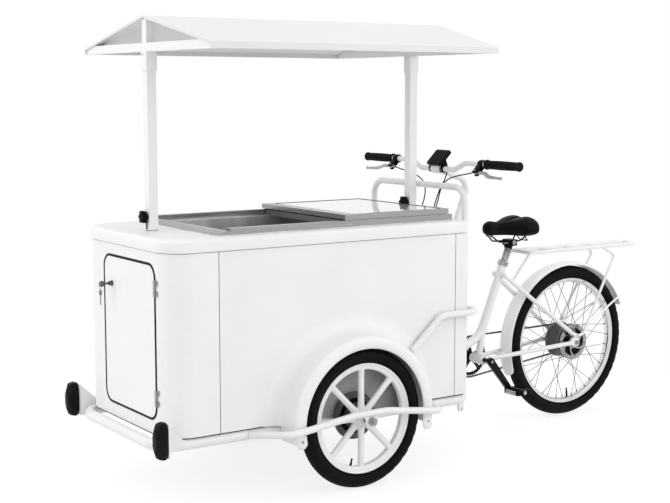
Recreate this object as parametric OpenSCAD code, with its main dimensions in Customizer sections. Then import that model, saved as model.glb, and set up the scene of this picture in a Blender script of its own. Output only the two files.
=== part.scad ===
// Ice cream tricycle: an insulated serving box on two cast wheels, steered as one piece
// against a pedalled rear frame that has one spoked, motor driven wheel.
// Forward is -Y, the rider's left is +X, and the three tyres stand on z = 0.

/* [Wheels] */
// Outside diameter of a front tyre
front_wheel_d = 516; // [500:1:530]
// Outside diameter of the rear tyre
rear_wheel_d = 668; // [650:1:680]
// Width of a front tyre
front_tyre_w = 56; // [48:1:60]
// Width of the rear tyre
rear_tyre_w = 57; // [48:1:60]
// Thickness of a tyre's wall
tyre_wall = 6; // [4:0.5:8]
// Width of a tyre's foot on its rim
bead_w = 34; // [28:1:38]
// Height of a front tyre over its bead seat
front_tyre_h = 55; // [50:1:60]
// Height of the rear tyre over its bead seat
rear_tyre_h = 54.5; // [50:0.5:60]
// Radial depth of a rim
rim_depth = 19; // [14:1:24]
// Width of a rim
rim_w = 40; // [36:1:46]
// Distance from the box's side to a front wheel's middle plane
wheel_gap = 61; // [58:1:66]
// Diameter of a front axle
front_axle_d = 16; // [12:1:20]
// Diameter of a front hub
front_hub_d = 64; // [52:1:76]
// Length of a front hub
front_hub_w = 72; // [64:1:76]
// Number of cast spokes in a front wheel
cast_spokes = 8; // [6:1:10]
// Width of a cast spoke
cast_spoke_w = 20; // [14:1:24]
// Diameter of a front drum brake
drum_d = 176; // [150:1:200]
// Diameter of the rear axle
rear_axle_d = 12; // [10:1:14]
// Diameter of the hub motor
motor_d = 156; // [150:1:170]
// Width of the hub motor
motor_w = 84; // [76:1:90]
// Number of wire spokes in the rear wheel
wire_spokes = 36; // [28:4:36]
// Diameter of a wire spoke
spoke_d = 2.2; // [1.8:0.1:3]
// Diameter of the rear brake rotor
rotor_d = 160; // [140:1:180]
// Thickness of the rear brake rotor
rotor_t = 2; // [1.6:0.1:3]

/* [Box] */
// Width of the box over its side panels
box_w = 690; // [670:2:710]
// Length of the box from front to back
box_l = 1285; // [1250:5:1320]
// Height of the panels
box_h = 636; // [610:2:660]
// Height of the panels' lower edge above the ground
box_z = 262; // [256:1:270]
// Distance from the box's front to the front axle
axle_to_front = 740; // [720:5:760]
// Thickness of a panel
panel_t = 12; // [8:1:16]
// Radius of the front upright corners
corner_r = 100; // [80:1:110]
// Depth of the front shell back to the side seam
front_wrap = 192; // [170:1:210]
// Depth of the rear panel's returns
rear_wrap = 60; // [45:1:80]
// Gap at a panel seam
seam_gap = 1.6; // [1:0.1:3]
// Thickness of the floor board
floor_t = 15; // [10:1:20]
// Height of the top cap
cap_h = 46; // [40:1:52]
// How far the cap stands proud of the panels
cap_proud = 6; // [3:1:9]
// Size of the rounding on the cap's top edge
cap_fillet = 20; // [12:1:24]

/* [Cold well] */
// Width of the stainless frame
frame_w = 600; // [580:2:616]
// Width of a frame rail
rail_w = 28; // [22:1:34]
// Height of a frame rail
rail_h = 22; // [18:1:28]
// Distance from the box's front to the frame
frame_front = 215; // [205:1:230]
// Depth of the low front lip
lip_w = 50; // [40:1:60]
// Width of the frame's rear border
frame_back = 15; // [12:1:20]
// Depth of the deck behind the frame
rear_deck = 43; // [42:0.5:48]
// Thickness of the stainless sheet
sheet_t = 2; // [1.5:0.5:3]
// Inside width of the well
well_w = 480; // [440:2:500]
// Depth of the well
well_depth = 345; // [300:5:370]
// Shelf between the lid opening's ends and the well
well_inset = 20; // [12:1:28]
// Foam thickness under the well
foam_under = 75; // [60:1:90]
// Foam thickness in front of the well
foam_front = 60; // [45:1:70]
// Thickness of the upper lid
lid_t = 18; // [14:1:24]
// Width of the upper lid's side borders
lid_border = 20; // [14:1:26]
// Width of the upper lid's front border
lid_grip = 46; // [36:1:56]
// Thickness of the lower lid
lower_lid_t = 10; // [8:1:12]

/* [Inside] */
// Width of the battery
battery_w = 330; // [300:5:340]
// Length of the battery
battery_l = 190; // [170:5:200]
// Height of the battery
battery_h = 170; // [150:5:180]
// Width of the cooling unit
cooler_w = 380; // [360:5:400]
// Length of the cooling unit
cooler_l = 330; // [310:5:340]

/* [Door] */
// Width of the door
door_w = 405; // [390:1:412]
// Height of the door
door_h = 535; // [510:1:545]
// Sideways place of the door's middle
door_x = 41; // [38:1:44]
// Height of the door's lower edge above the panels' lower edge
door_up = 55; // [45:1:70]
// Thickness of the door
door_t = 14; // [10:1:18]
// Radius of the door's corners
door_r = 45; // [30:1:60]
// Gap round the door
door_gap = 6; // [5:0.5:8]
// Width of the rubber seal in that gap
seal_w = 4; // [3:0.5:4.5]
// Height of a hinge
hinge_h = 56; // [48:1:66]
// Distance from a door end to its nearer hinge
hinge_in = 50; // [46:1:70]
// Diameter of a hinge pin
hinge_pin_d = 4; // [3:0.5:5]
// Distance from the door's top down to the lock
lock_drop = 100; // [80:1:120]
// Distance from the door's free edge to the lock
lock_in = 64; // [55:1:75]
// Diameter of the lock barrel
lock_d = 20; // [18:1:26]

/* [Canopy] */
// Width of the canopy
canopy_w = 1000; // [960:5:1040]
// How far the ridge runs out past the eaves at the back
ridge_over = 115; // [90:1:140]
// Overhang of the canopy past each post
canopy_over = 8; // [6:1:30]
// Height of the eaves' lower edge
eave_z = 1575; // [1540:5:1610]
// Height of an eave board
fascia_h = 22; // [20:1:30]
// Rise from the eaves to the ridge
roof_rise = 103; // [90:1:130]
// Thickness of the roof sheet
roof_t = 8; // [6:0.5:8]
// Size of a square post
post_s = 35; // [30:1:38]
// Wall of a post
post_wall = 2.5; // [2:0.5:4]
// Distance from the box's front to the front post's middle
post_front = 112; // [106:1:125]
// Height of a post socket above the deck
socket_h = 190; // [160:5:220]
// Height of a clamp knob above the deck
knob_up = 50; // [40:1:70]
// Diameter of a clamp knob
knob_d = 44; // [38:1:50]

/* [Chassis] */
// Diameter of the main tube
chassis_d = 40; // [36:1:44]
// Distance from the box's front out to the tube's middle
chassis_front = 30; // [26:1:34]
// Distance from the box's back out to the tube's middle
chassis_rear = 42; // [38:1:46]
// Bend radius of the main tube
chassis_bend = 90; // [70:1:110]
// Reach of the rubber buffers in front of the box
bumper_reach = 74; // [70:1:80]
// Width of a rubber buffer
pad_w = 56; // [46:1:64]
// Height of a rubber buffer
pad_h = 136; // [120:1:150]
// Depth of a rubber buffer
pad_t = 42; // [36:1:46]
// Distance between the buffers' middles
pad_span = 742; // [720:2:760]
// Diameter of the guard and push tubes
guard_d = 25; // [20:1:28]
// Distance from a front axle forward to its guard's front bend
guard_front = 330; // [320:1:345]
// Distance from a front axle back to its guard's rear bend
guard_rear = 316; // [308:1:326]
// Height of the side rail
rail_z = 588; // [570:2:610]
// Length over which the side rail climbs
rail_run = 138; // [120:1:160]
// Gap between a front tyre and its fender
fender_gap = 44; // [40:1:48]
// Thickness of a fender
fender_t = 3; // [2:0.5:4]
// Depth of a fender's outer lip
fender_lip = 42; // [36:1:44]
// Radius of a hitch hole in the chassis lugs
hitch_r = 5.5; // [4:0.25:6.5]

/* [Steering] */
// Distance from the box's back to the steering axis
head_back = 110; // [106:1:120]
// Height of the head tube's lower end
head_z = 300; // [296:1:306]
// Length of the head tube
head_l = 120; // [110:1:130]
// Diameter of the head tube
head_d = 44; // [40:1:46]
// Diameter of the steering pin
pin_d = 24; // [20:1:28]
// Thickness of a steering lug
lug_t = 10; // [8:1:12]
// Distance from the box's back to the handlebar
bar_back = 124; // [116:1:132]
// Height of the handlebar's middle
bar_z = 1122; // [1112:1:1134]
// Reach of the swan neck behind the box
neck_reach = 286; // [276:1:300]
// Drop of the swan neck's bend below the handlebar
neck_drop = 57; // [50:1:64]
// Rise of the handlebar's ends
bar_rise = 30; // [24:1:40]
// Length of the handlebar
bar_l = 986; // [940:2:988]
// Diameter of the handlebar
bar_d = 22; // [20:0.5:24]
// Length of a grip
grip_l = 188; // [160:1:195]
// Diameter of a grip
grip_d = 36; // [32:1:38]
// Distance from the box's back to the push bar
push_back = 20; // [19.5:0.5:24]
// Height of the push bar
push_z = 1065; // [1045:1:1085]
// Distance between the push bar's legs
push_w = 600; // [590:2:620]

/* [Rear frame] */
// Distance from the steering axis to the crank axis
crank_back = 243; // [238:1:250]
// Height of the crank axis
crank_z = 305; // [295:1:315]
// Distance from the crank axis back to the rear axle
stay_l = 497; // [488:1:520]
// Distance from the crank axis back to the seat tube's top
seat_back = 132; // [120:1:140]
// Height of the seat tube's top
seat_z = 712; // [700:1:725]
// Height of the frame's knee
knee_z = 383; // [375:1:392]
// Diameter of the frame's main tube
main_d = 35; // [32:1:38]
// Diameter of the seat post
seat_post_d = 27; // [24:1:28]
// Diameter of a stay
stay_d = 19; // [16:1:20]
// Distance from the middle plane to a dropout
drop_x = 76; // [74:1:80]
// Thickness of a dropout
drop_t = 6; // [5:0.5:8]
// Gap between the rear tyre and its mudguard
guard_gap = 18; // [14:1:24]
// Width of the rear mudguard
mudguard_w = 68; // [64:1:70]
// Thickness of the rear mudguard
mudguard_t = 2; // [1.5:0.5:3]
// Reach of the rack behind the rear axle
rear_reach = 400; // [380:2:420]
// Height of the rack
rack_z = 748; // [740:1:770]
// Width of the rack
rack_w = 124; // [110:1:150]
// Diameter of the rack's tube
rack_d = 14; // [12:0.5:15]

/* [Saddle] */
// Length of the saddle
saddle_l = 272; // [250:1:290]
// Width of the saddle at the back
saddle_w = 214; // [190:1:230]
// Width of the saddle's nose
nose_w = 62; // [50:1:74]
// Height of the saddle's pad
saddle_h = 62; // [52:1:70]
// Depth of the channel along the saddle
saddle_dip = 12; // [6:1:16]
// Length of the seat post inside its tube
seat_in = 175; // [150:1:190]
// Length of the seat post out of its clamp
seat_out = 86; // [80:1:100]

/* [Drive] */
// Length of a crank
crank_l = 165; // [150:1:170]
// Angle of the left crank behind straight down
crank_turn = 39; // [0:1:60]
// Number of chainring teeth
ring_teeth = 44; // [40:1:46]
// Number of sprocket teeth
cog_teeth = 32; // [28:1:34]
// Distance from the middle plane to the chain
chain_x = 54; // [53:0.5:56]
// Width of the chain
chain_w = 8; // [7:0.5:9]
// Pitch of the chain
chain_pitch = 12.7; // [12.5:0.1:12.9]
// Length of a pedal
pedal_l = 92; // [80:1:100]
// Width of a pedal
pedal_w = 78; // [66:1:84]
// Height of a pedal
pedal_h = 26; // [20:1:30]

/* [Hidden] */
$fn = 64;
// Gap between pieces that pass or seat on each other
fit = 0.3;
// Radial clearance of a turning fit
run = 0.05;

// Places along the length: y of the front axle, box ends, rear axle and steering axis
wheelbase = box_l - axle_to_front + head_back + crank_back + stay_l;
fy = (axle_to_front + bumper_reach - wheelbase - rear_reach) / 2;
box_y0 = fy - axle_to_front;
box_y1 = box_y0 + box_l;
ry = fy + wheelbase;
hy = box_y1 + head_back;

// Main half widths, heights and radii
side_x = box_w / 2;
wheel_x = side_x + wheel_gap;
front_r = front_wheel_d / 2;
rear_r = rear_wheel_d / 2;
front_rim_d = front_wheel_d - 2 * front_tyre_h;
rear_rim_d = rear_wheel_d - 2 * rear_tyre_h;
panel_top = box_z + box_h;
cap_top = panel_top + cap_h;
cap_rear_r = cap_fillet + 4;

// Stainless frame, well and lids
frame_y0 = box_y0 + frame_front;
frame_y1 = box_y1 - rear_deck;
lid_l = (frame_y1 - frame_back - frame_y0 - lip_w) / 2;
lid_y0 = frame_y1 - frame_back - lid_l;
flange_top = cap_top + sheet_t;
rail_top = flange_top + rail_h;
well_y0 = frame_y0 + lip_w + well_inset;
well_y1 = frame_y1 - frame_back - well_inset;
well_z = cap_top - well_depth;
foam_z = well_z - sheet_t - foam_under;
foam_y0 = well_y0 - sheet_t - foam_front;

// Door and its hinges
door_x0 = door_x - door_w / 2;
door_x1 = door_x + door_w / 2;
door_z = box_z + door_up;
door_y = box_y0 - 1;
knuckle_r = hinge_pin_d / 2 + 2;
hinge_x = door_x1 + door_gap - 1;
hinge_y = door_y - knuckle_r - 0.5;
hinge_zs = [door_z + hinge_in, door_z + door_h - hinge_in - hinge_h];
lock_x = door_x0 + lock_in;
lock_z = door_z + door_h - lock_drop;

// Canopy and its posts
post_y0 = box_y0 + post_front;
post_y1 = frame_y1 + 8 + post_s / 2;
post_foot = 3;
sleeve_wall = 3;
sleeve_h = 66;
canopy_y0 = post_y0 - post_s / 2 - canopy_over;
canopy_y1 = post_y1 + post_s / 2 + canopy_over;
ridge_z = eave_z + fascia_h + roof_rise;
tie_h = 30;
tie_w = post_s;

// Chassis
tube_x = side_x - chassis_d / 2 - 0.5;
tube_z = box_z - chassis_d / 2 - 0.5;
tube_y0 = box_y0 - chassis_front;
tube_y1 = box_y1 + chassis_rear;
guard_r = guard_d / 2;
guard_x = wheel_x + front_hub_w / 2 + guard_r + 18;
fender_r = front_r + fender_gap;
fender_x0 = side_x + fit;
fender_x1 = wheel_x + front_tyre_w / 2 + 16;
side_rail_x = side_x + guard_r + 4;
axle_plate = 8;
web_y1 = hy - head_d / 2 - 10;
lug_z0 = head_z - lug_t - 0.5;
lug_z1 = head_z + head_l + 0.5;

// Handlebar
bar_y = box_y1 + bar_back;
bar_r = bar_d / 2;
grip_x = bar_l / 2 - grip_l;
bar_top = bar_z + bar_rise;
mount_w = 26;
mount_x = grip_x - 14 - mount_w / 2;
// A lever's pivot, and how far in front of and below the bar the lever runs
lever_pivot_y = bar_y - 30;
lever_pivot_z = bar_top - 30;
lever_y = bar_y - 42;
lever_z = bar_top - 44;
push_y = box_y1 + push_back;

// Rear frame
by = hy + crank_back;
seat_top = [0, by + seat_back, seat_z];
knee = [0, by - 3, knee_z];
seat_dir = (seat_top - knee) / norm(seat_top - knee);
stay_x = 34;
stay_top = seat_top - seat_dir * 58;
mudguard_r = rear_r + guard_gap;
rack_y0 = by + 225;
rack_y1 = ry + rear_reach - rack_d / 2;
rack_leg_r = rack_d / 2 - 1;
rack_foot = [drop_x + drop_t / 2 + rack_leg_r + 2 * fit, ry + 34, rear_r + 40];
rack_knee = [rack_w / 2 + 8, ry + 230, rack_z - 40];
// Bridge between the chain stays, which holds the front of the mudguard
bridge_y = by + 120;
bridge_z = crank_z + 7;
bridge_r = 7;
saddle_at = seat_top + seat_dir * seat_out;
saddle_y0 = saddle_at[1] - 0.56 * saddle_l;
saddle_z = saddle_at[2] + 42;

// Drive
ring_r = chain_pitch / 2 / sin(180 / ring_teeth);
cog_r = chain_pitch / 2 / sin(180 / cog_teeth);
chain_half = 4.5;
crank_x = 72;
crank_t = 14;
crank_end = [crank_l * sin(crank_turn), -crank_l * cos(crank_turn)];

// Route of a control cable, from a lever mount to the box's back
cable = [[mount_x - 14, bar_y - 30, bar_top - 31], [mount_x - 50, bar_y - 28, bar_top - 38],
  [150, bar_y - 26, bar_z - 22], [100, bar_y - 24, bar_z - 36], [64, bar_y - 24, bar_z - 58],
  [48, bar_y - 28, bar_z - 94], [46, bar_y - 38, bar_z - 134], [46, box_y1 + 68, panel_top + 50],
  [46, box_y1 + 46, panel_top + 12], [46, box_y1 + 24, panel_top - 16], [46, box_y1 + 10, panel_top - 26],
  [46, box_y1 + 0.5, panel_top - 28]];

// Route of the display's cable, from its back to the box's back
display_cable = [[24, bar_y + 8.8, bar_z + 40.2], [24, bar_y + 24, bar_z + 25], [24, bar_y + 29, bar_z - 4],
  [26, bar_y + 16, bar_z - 40], [28, bar_y - 12, bar_z - 82], [30, bar_y - 34, bar_z - 128],
  [30, box_y1 + 74, panel_top + 54], [30, box_y1 + 50, panel_top + 14], [30, box_y1 + 26, panel_top - 14],
  [30, box_y1 + 10, panel_top - 26], [30, box_y1 + 0.5, panel_top - 28]];

// Shapes shared by several pieces

function unit(v) = v / norm(v);

// Length that a bend takes off the runs at corner i of a tube's points
function bend_cut(p, i, bend) = (i == 0 || i == len(p) - 1) ? 0
  : bend * tan((180 - acos(unit(p[i - 1] - p[i]) * unit(p[i + 1] - p[i]))) / 2);

// A round bar between two points
module rod(a, b, r) {
  d = b - a;
  translate(a)
    rotate([0, acos(d[2] / norm(d)), atan2(d[1], d[0])])
      cylinder(h = norm(d), r = r);
}

// The bend at corner b of a tube that comes from a and goes on to c
module elbow(a, b, c, r, bend) {
  d1 = unit(a - b);
  d2 = unit(c - b);
  turn = 180 - acos(d1 * d2);
  mid = b + unit(d1 + d2) * bend / cos(turn / 2);
  u = unit(b + d1 * bend * tan(turn / 2) - mid);
  v = -d1;
  n = cross(u, v);
  past = 60 / bend;
  multmatrix([[u[0], v[0], n[0], mid[0]], [u[1], v[1], n[1], mid[1]], [u[2], v[2], n[2], mid[2]]])
    rotate([0, 0, -past])
      rotate_extrude(angle = turn + 2 * past)
        translate([bend, 0])
          circle(r + 0.2);
}

// A round tube along corner points, with the same bend at each inner corner
module bent_tube(p, r, bend) {
  for (i = [0:len(p) - 2]) {
    d = unit(p[i + 1] - p[i]);
    rod(p[i] + d * bend_cut(p, i, bend), p[i + 1] - d * bend_cut(p, i + 1, bend), r);
  }
  for (i = [1:1:len(p) - 2])
    elbow(p[i - 1], p[i], p[i + 1], r, bend);
}

// Turns a sketch of (y, z) into the side plane at x, thick towards +X
module side_plane(x, y, z) {
  translate([x, y, z])
    rotate([90, 0, 90])
      children();
}

// Turns a sketch of (x, z) into the plane at y, thick towards +Y
module front_plane(x, y, z) {
  translate([x, y, z])
    mirror([0, 1, 0])
      rotate([90, 0, 0])
        children();
}

module both_sides() {
  children();
  mirror([1, 0, 0])
    children();
}

module rounded_rect(w, h, r) {
  translate([r, 0])
    square([w - 2 * r, h]);
  translate([0, r])
    square([w, h - 2 * r]);
  for (x = [r, w - r], y = [r, h - r])
    translate([x, y])
      circle(r);
}

// The box in plan, drawn in from its outside by inset, with round front corners
module box_plan(inset) {
  w = side_x - inset;
  r = corner_r - inset;
  translate([-w, box_y0 + corner_r])
    square([2 * w, box_l - corner_r - inset]);
  translate([-side_x + corner_r, box_y0 + inset])
    square([2 * (side_x - corner_r), corner_r]);
  for (s = [-1, 1])
    translate([s * (side_x - corner_r), box_y0 + corner_r])
      circle(r);
}

// Sweeps a tube of n sides along points, square to the route at each of them
module swept_tube(p, r, n) {
  m = len(p);
  rings = [for (i = [0:m - 1])
    let (d = unit(p[min(i + 1, m - 1)] - p[max(i - 1, 0)]),
      a = unit(cross(d, [1, 0.2, 0])),
      b = cross(d, a))
    for (k = [0:n - 1]) p[i] + r * (cos(360 * k / n) * a + sin(360 * k / n) * b)];
  sides = [for (i = [0:m - 2], k = [0:n - 1])
    let (a = i * n + k, b = i * n + (k + 1) % n)
    each [[a, b, a + n], [b, b + n, a + n]]];
  ends = [for (k = [1:n - 2]) each [[0, k + 1, k], [(m - 1) * n, (m - 1) * n + k, (m - 1) * n + k + 1]]];
  polyhedron(rings, concat(sides, ends));
}

// Chassis and running gear

module chassis_frame() {
  loop = [[0, tube_y0, tube_z], [tube_x, tube_y0, tube_z], [tube_x, tube_y1, tube_z],
    [-tube_x, tube_y1, tube_z], [-tube_x, tube_y0, tube_z], [0, tube_y0, tube_z]];
  beam_w = 40;
  beam_h = 26;
  color("white")
    difference() {
      union() {
        bent_tube(loop, chassis_d / 2, chassis_bend);
        for (y = [box_y0 + 150, fy, box_y1 - 150])
          translate([-tube_x, y - beam_w / 2, box_z - beam_h])
            cube([2 * tube_x, beam_w, beam_h]);
        both_sides() {
          axle_block();
          buffer_bracket();
          hitch_lug();
        }
        steering_yoke();
      }
      both_sides()
        side_plane(side_x, fy, front_r)
          cylinder(h = axle_plate + 2, r = front_axle_d / 2 + run);
      translate([0, hy, lug_z0 - 1])
        cylinder(h = lug_z1 - lug_z0 + lug_t + 2, r = pin_d / 2 + run);
    }
}

// Plate outside the panel, on a block of the main tube, that holds a front axle's inner end
module axle_block() {
  block_l = 60;
  low_z = min(tube_z - 14, front_r - front_axle_d - 10);
  translate([tube_x, fy - block_l / 2, low_z])
    cube([side_x + axle_plate - tube_x, block_l, box_z - low_z - 0.5]);
  translate([side_x + fit, fy - block_l / 2, low_z])
    cube([axle_plate - fit, block_l, front_r + 26 - low_z]);
}

// Gusset that carries a rubber buffer in front of the main tube
module buffer_bracket() {
  plate_y = box_y0 - bumper_reach + pad_t;
  plate_t = 6;
  translate([tube_x + 8, plate_y, tube_z - chassis_d / 2])
    cube([pad_span / 2 + pad_w / 2 - 4 - tube_x - 8, plate_t, pad_h - 20]);
  side_plane(tube_x + 8, plate_y + plate_t - 1, tube_z)
    linear_extrude(8)
      polygon([[0, -chassis_d / 2], [chassis_bend, -8], [chassis_bend, 8], [0, pad_h - chassis_d / 2 - 24]]);
}

// Ear under the rear end of the main tube, with a hole for a hitch or a stand
module hitch_lug() {
  ear_r = 13;
  ear_t = 8;
  drop = chassis_d / 2 + 20;
  side_plane(tube_x - ear_t / 2, box_y1 - 10, tube_z)
    linear_extrude(ear_t)
      difference() {
        union() {
          translate([-ear_r, -drop])
            square([2 * ear_r, drop]);
          translate([0, -drop])
            circle(ear_r);
        }
        translate([0, -drop])
          circle(hitch_r);
      }
}

// Fork at the back of the chassis that holds the steering pin at both ends
module steering_yoke() {
  web_w = 56;
  translate([-web_w / 2, tube_y1 - 6, tube_z - 8])
    cube([web_w, web_y1 - tube_y1 + 6, lug_z1 + lug_t - tube_z + 8]);
  for (z = [lug_z0, lug_z1])
    translate([0, 0, z])
      linear_extrude(lug_t) {
        translate([-web_w / 2, web_y1 - 1])
          square([web_w, hy - web_y1 + 1]);
        translate([0, hy])
          circle(web_w / 2);
      }
}

// Bent tubes outside the wheels that hold the outer ends of the axles
module wheel_guards() {
  top_z = front_r + 1.2 * guard_d;
  low_z = tube_z + guard_r;
  half = 2.8 * guard_d;
  end_x = tube_x + chassis_d / 2 - 4;
  path = [[end_x, fy - guard_front - 4 * guard_d, tube_z], [guard_x, fy - guard_front, low_z],
    [guard_x, fy - half, top_z], [guard_x, fy + half, top_z], [guard_x, fy + guard_rear, low_z],
    [end_x, fy + guard_rear + 2.4 * guard_d, tube_z]];
  plate_r = 26;
  plate_h = 1.12 * guard_d;
  color("white")
    both_sides()
      difference() {
        union() {
          bent_tube(path, guard_r, 60);
          side_plane(guard_x - 4, fy, front_r)
            linear_extrude(8) {
              circle(plate_r);
              polygon([[-plate_r + 2, 4], [plate_r - 2, 4], [plate_r + 14, plate_h], [-plate_r - 14, plate_h]]);
            }
        }
        translate([tube_x, box_y0, tube_z])
          rotate([-90, 0, 0])
            cylinder(h = box_l, r = chassis_d / 2 + fit);
        side_plane(guard_x - 30, fy, front_r)
          cylinder(h = 60, r = front_axle_d / 2 + run);
      }
}

// Rail along the sides and round the back of the box
module side_rail() {
  foot_r = fender_r + fender_t + 1.36 * guard_d;
  foot_y = fy + foot_r * cos(38);
  foot_z = front_r + foot_r * sin(38);
  top_y = foot_y + rail_run;
  back_y = box_y1 + chassis_rear + 10;
  path = [[side_rail_x, foot_y, foot_z], [side_rail_x, top_y, rail_z], [side_rail_x, back_y, rail_z],
    [-side_rail_x, back_y, rail_z], [-side_rail_x, top_y, rail_z], [-side_rail_x, foot_y, foot_z]];
  stub_r = 9;
  color("white") {
    bent_tube(path, guard_r, 60);
    both_sides()
      for (p = [[foot_y + 8, foot_z + 9.5], [box_y1 - rear_wrap - 30, rail_z]])
        rod([side_x, p[0], p[1]], [side_rail_x, p[0], p[1]], stub_r);
  }
}

// Axles of the front wheels, each with its shoulder, outer nut and brake drum
module front_axles() {
  x0 = side_x + 2 * fit;
  x1 = guard_x + 22;
  hub_x = wheel_x + front_hub_w / 2;
  drum_x = side_x + axle_plate + 1;
  color("silver")
    both_sides() {
      difference() {
        union() {
          side_plane(drum_x, fy, front_r)
            cylinder(h = wheel_x - front_hub_w / 2 - drum_x - 1, d = drum_d * 0.55);
          side_plane(drum_x + 4, fy, front_r)
            cylinder(h = 10, d = drum_d);
        }
        side_plane(drum_x - 1, fy, front_r)
          cylinder(h = front_hub_w, r = front_axle_d / 2 + fit);
      }
      side_plane(x0, fy, front_r)
        cylinder(h = x1 - x0, d = front_axle_d);
      side_plane(hub_x + fit, fy, front_r)
        cylinder(h = guard_x - 4 - hub_x - 2 * fit, d = front_axle_d + 10);
      side_plane(guard_x + 4 + fit, fy, front_r)
        cylinder(h = 12, d = front_axle_d + 12, $fn = 6);
    }
}

// Arched fenders from the box's sides out over the front wheels
module front_fenders() {
  low_end = -11;
  sweep = 201;
  color("white")
    both_sides()
      side_plane(0, fy, front_r)
        rotate([0, 0, low_end])
          rotate_extrude(angle = sweep)
            polygon([[fender_r, fender_x0], [fender_r + fender_t, fender_x0],
              [fender_r + fender_t, fender_x1 - 4], [fender_r + fender_t - 4, fender_x1],
              [fender_r - fender_lip, fender_x1], [fender_r - fender_lip, fender_x1 - fender_t],
              [fender_r - 3, fender_x1 - fender_t], [fender_r, fender_x1 - fender_t - 3]]);
}

// Rubber buffers at the front corners, with sloped ends
module bumper_pads() {
  y0 = box_y0 - bumper_reach;
  z0 = tube_z - chassis_d / 2 - 10;
  slope = 20;
  color("#181818")
    for (s = [-1, 1])
      side_plane(s * pad_span / 2 - pad_w / 2, y0, z0)
        linear_extrude(pad_w)
          polygon([[0, slope * 1.6], [slope * 0.7, 4], [slope * 1.3, 0], [pad_t, 0], [pad_t, pad_h],
            [slope * 1.3, pad_h], [slope * 0.7, pad_h - 4], [0, pad_h - slope * 1.6]]);
}

module tyre(wheel_d, rim_d, w) {
  mid = wheel_d / 2 - w / 2;
  seat = rim_d / 2 + fit;
  color("#141414")
    rotate_extrude()
      difference() {
        union() {
          intersection() {
            translate([mid, 0])
              circle(w / 2);
            translate([seat, -w])
              square([2 * w, 2 * w]);
          }
          translate([seat, -bead_w / 2])
            square([mid - seat, bead_w]);
        }
        translate([mid, 0])
          circle(w / 2 - tyre_wall);
        translate([seat - 1, -bead_w / 2 + 8])
          square([mid - seat, bead_w - 16]);
      }
}

// Channel of a rim, shallow on the tyre's side
module rim_ring(rim_d) {
  rotate_extrude()
    polygon([[rim_d / 2 - rim_depth, -rim_w / 4], [rim_d / 2 - rim_depth + 5, -rim_w / 2],
      [rim_d / 2, -rim_w / 2], [rim_d / 2, rim_w / 2], [rim_d / 2 - rim_depth + 5, rim_w / 2],
      [rim_d / 2 - rim_depth, rim_w / 4]]);
}

module cast_rim() {
  spoke_t = 18;
  reach = front_rim_d / 2 - rim_depth + 4;
  color("white")
    difference() {
      union() {
        rim_ring(front_rim_d);
        translate([0, 0, -front_hub_w / 2])
          cylinder(h = front_hub_w, d = front_hub_d);
        for (i = [0:cast_spokes - 1])
          rotate([0, 0, 360 * (i + 0.5) / cast_spokes])
            translate([front_hub_d / 2 - 6, 0, -spoke_t / 2])
              linear_extrude(spoke_t)
                polygon([[0, -cast_spoke_w / 2 - 4], [reach - front_hub_d / 2 + 6, -cast_spoke_w / 2],
                  [reach - front_hub_d / 2 + 6, cast_spoke_w / 2], [0, cast_spoke_w / 2 + 4]]);
      }
      translate([0, 0, -front_hub_w])
        cylinder(h = 2 * front_hub_w, r = front_axle_d / 2 + run);
    }
}

module front_tyre_left() {
  side_plane(wheel_x, fy, front_r)
    tyre(front_wheel_d, front_rim_d, front_tyre_w);
}

module front_tyre_right() {
  side_plane(-wheel_x, fy, front_r)
    tyre(front_wheel_d, front_rim_d, front_tyre_w);
}

module front_rim_left() {
  side_plane(wheel_x, fy, front_r)
    rotate([0, 0, 180 / cast_spokes])
      cast_rim();
}

module front_rim_right() {
  side_plane(-wheel_x, fy, front_r)
    rotate([0, 0, 180 / cast_spokes])
      cast_rim();
}

// Box panels

module shell_ring() {
  linear_extrude(box_h)
    difference() {
      box_plan(0);
      box_plan(panel_t);
      children();
    }
}

module front_shell() {
  seam_y = box_y0 + front_wrap - seam_gap / 2;
  color("white")
    difference() {
      translate([0, 0, box_z])
        shell_ring()
          translate([-box_w, seam_y])
            square([2 * box_w, box_l]);
      front_plane(door_x0 - door_gap, box_y0 - 1, door_z - door_gap)
        linear_extrude(panel_t + 2)
          rounded_rect(door_w + 2 * door_gap, door_h + 2 * door_gap, door_r + door_gap);
    }
}

module side_panels() {
  y0 = box_y0 + front_wrap + seam_gap / 2;
  y1 = box_y1 - rear_wrap - seam_gap / 2;
  color("white")
    both_sides()
      translate([side_x - panel_t, y0, box_z])
        cube([panel_t, y1 - y0, box_h]);
}

module rear_panel() {
  seam_y = box_y1 - rear_wrap + seam_gap / 2;
  color("white")
    translate([0, 0, box_z])
      shell_ring()
        translate([-box_w, seam_y - 2 * box_l])
          square([2 * box_w, 2 * box_l]);
}

module floor_panel() {
  color("gainsboro")
    translate([0, 0, box_z])
      linear_extrude(floor_t)
        box_plan(panel_t + fit);
}

// Section of the cap's edge: reach is the distance from the inside to the outside
module cap_section(reach) {
  polygon([[0, 0], [reach, 0], [reach, cap_h - cap_fillet], [reach - 0.08 * cap_fillet, cap_h - 0.6 * cap_fillet],
    [reach - 0.3 * cap_fillet, cap_h - 0.3 * cap_fillet], [reach - 0.6 * cap_fillet, cap_h - 0.08 * cap_fillet],
    [reach - cap_fillet, cap_h], [0, cap_h]]);
}

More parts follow.
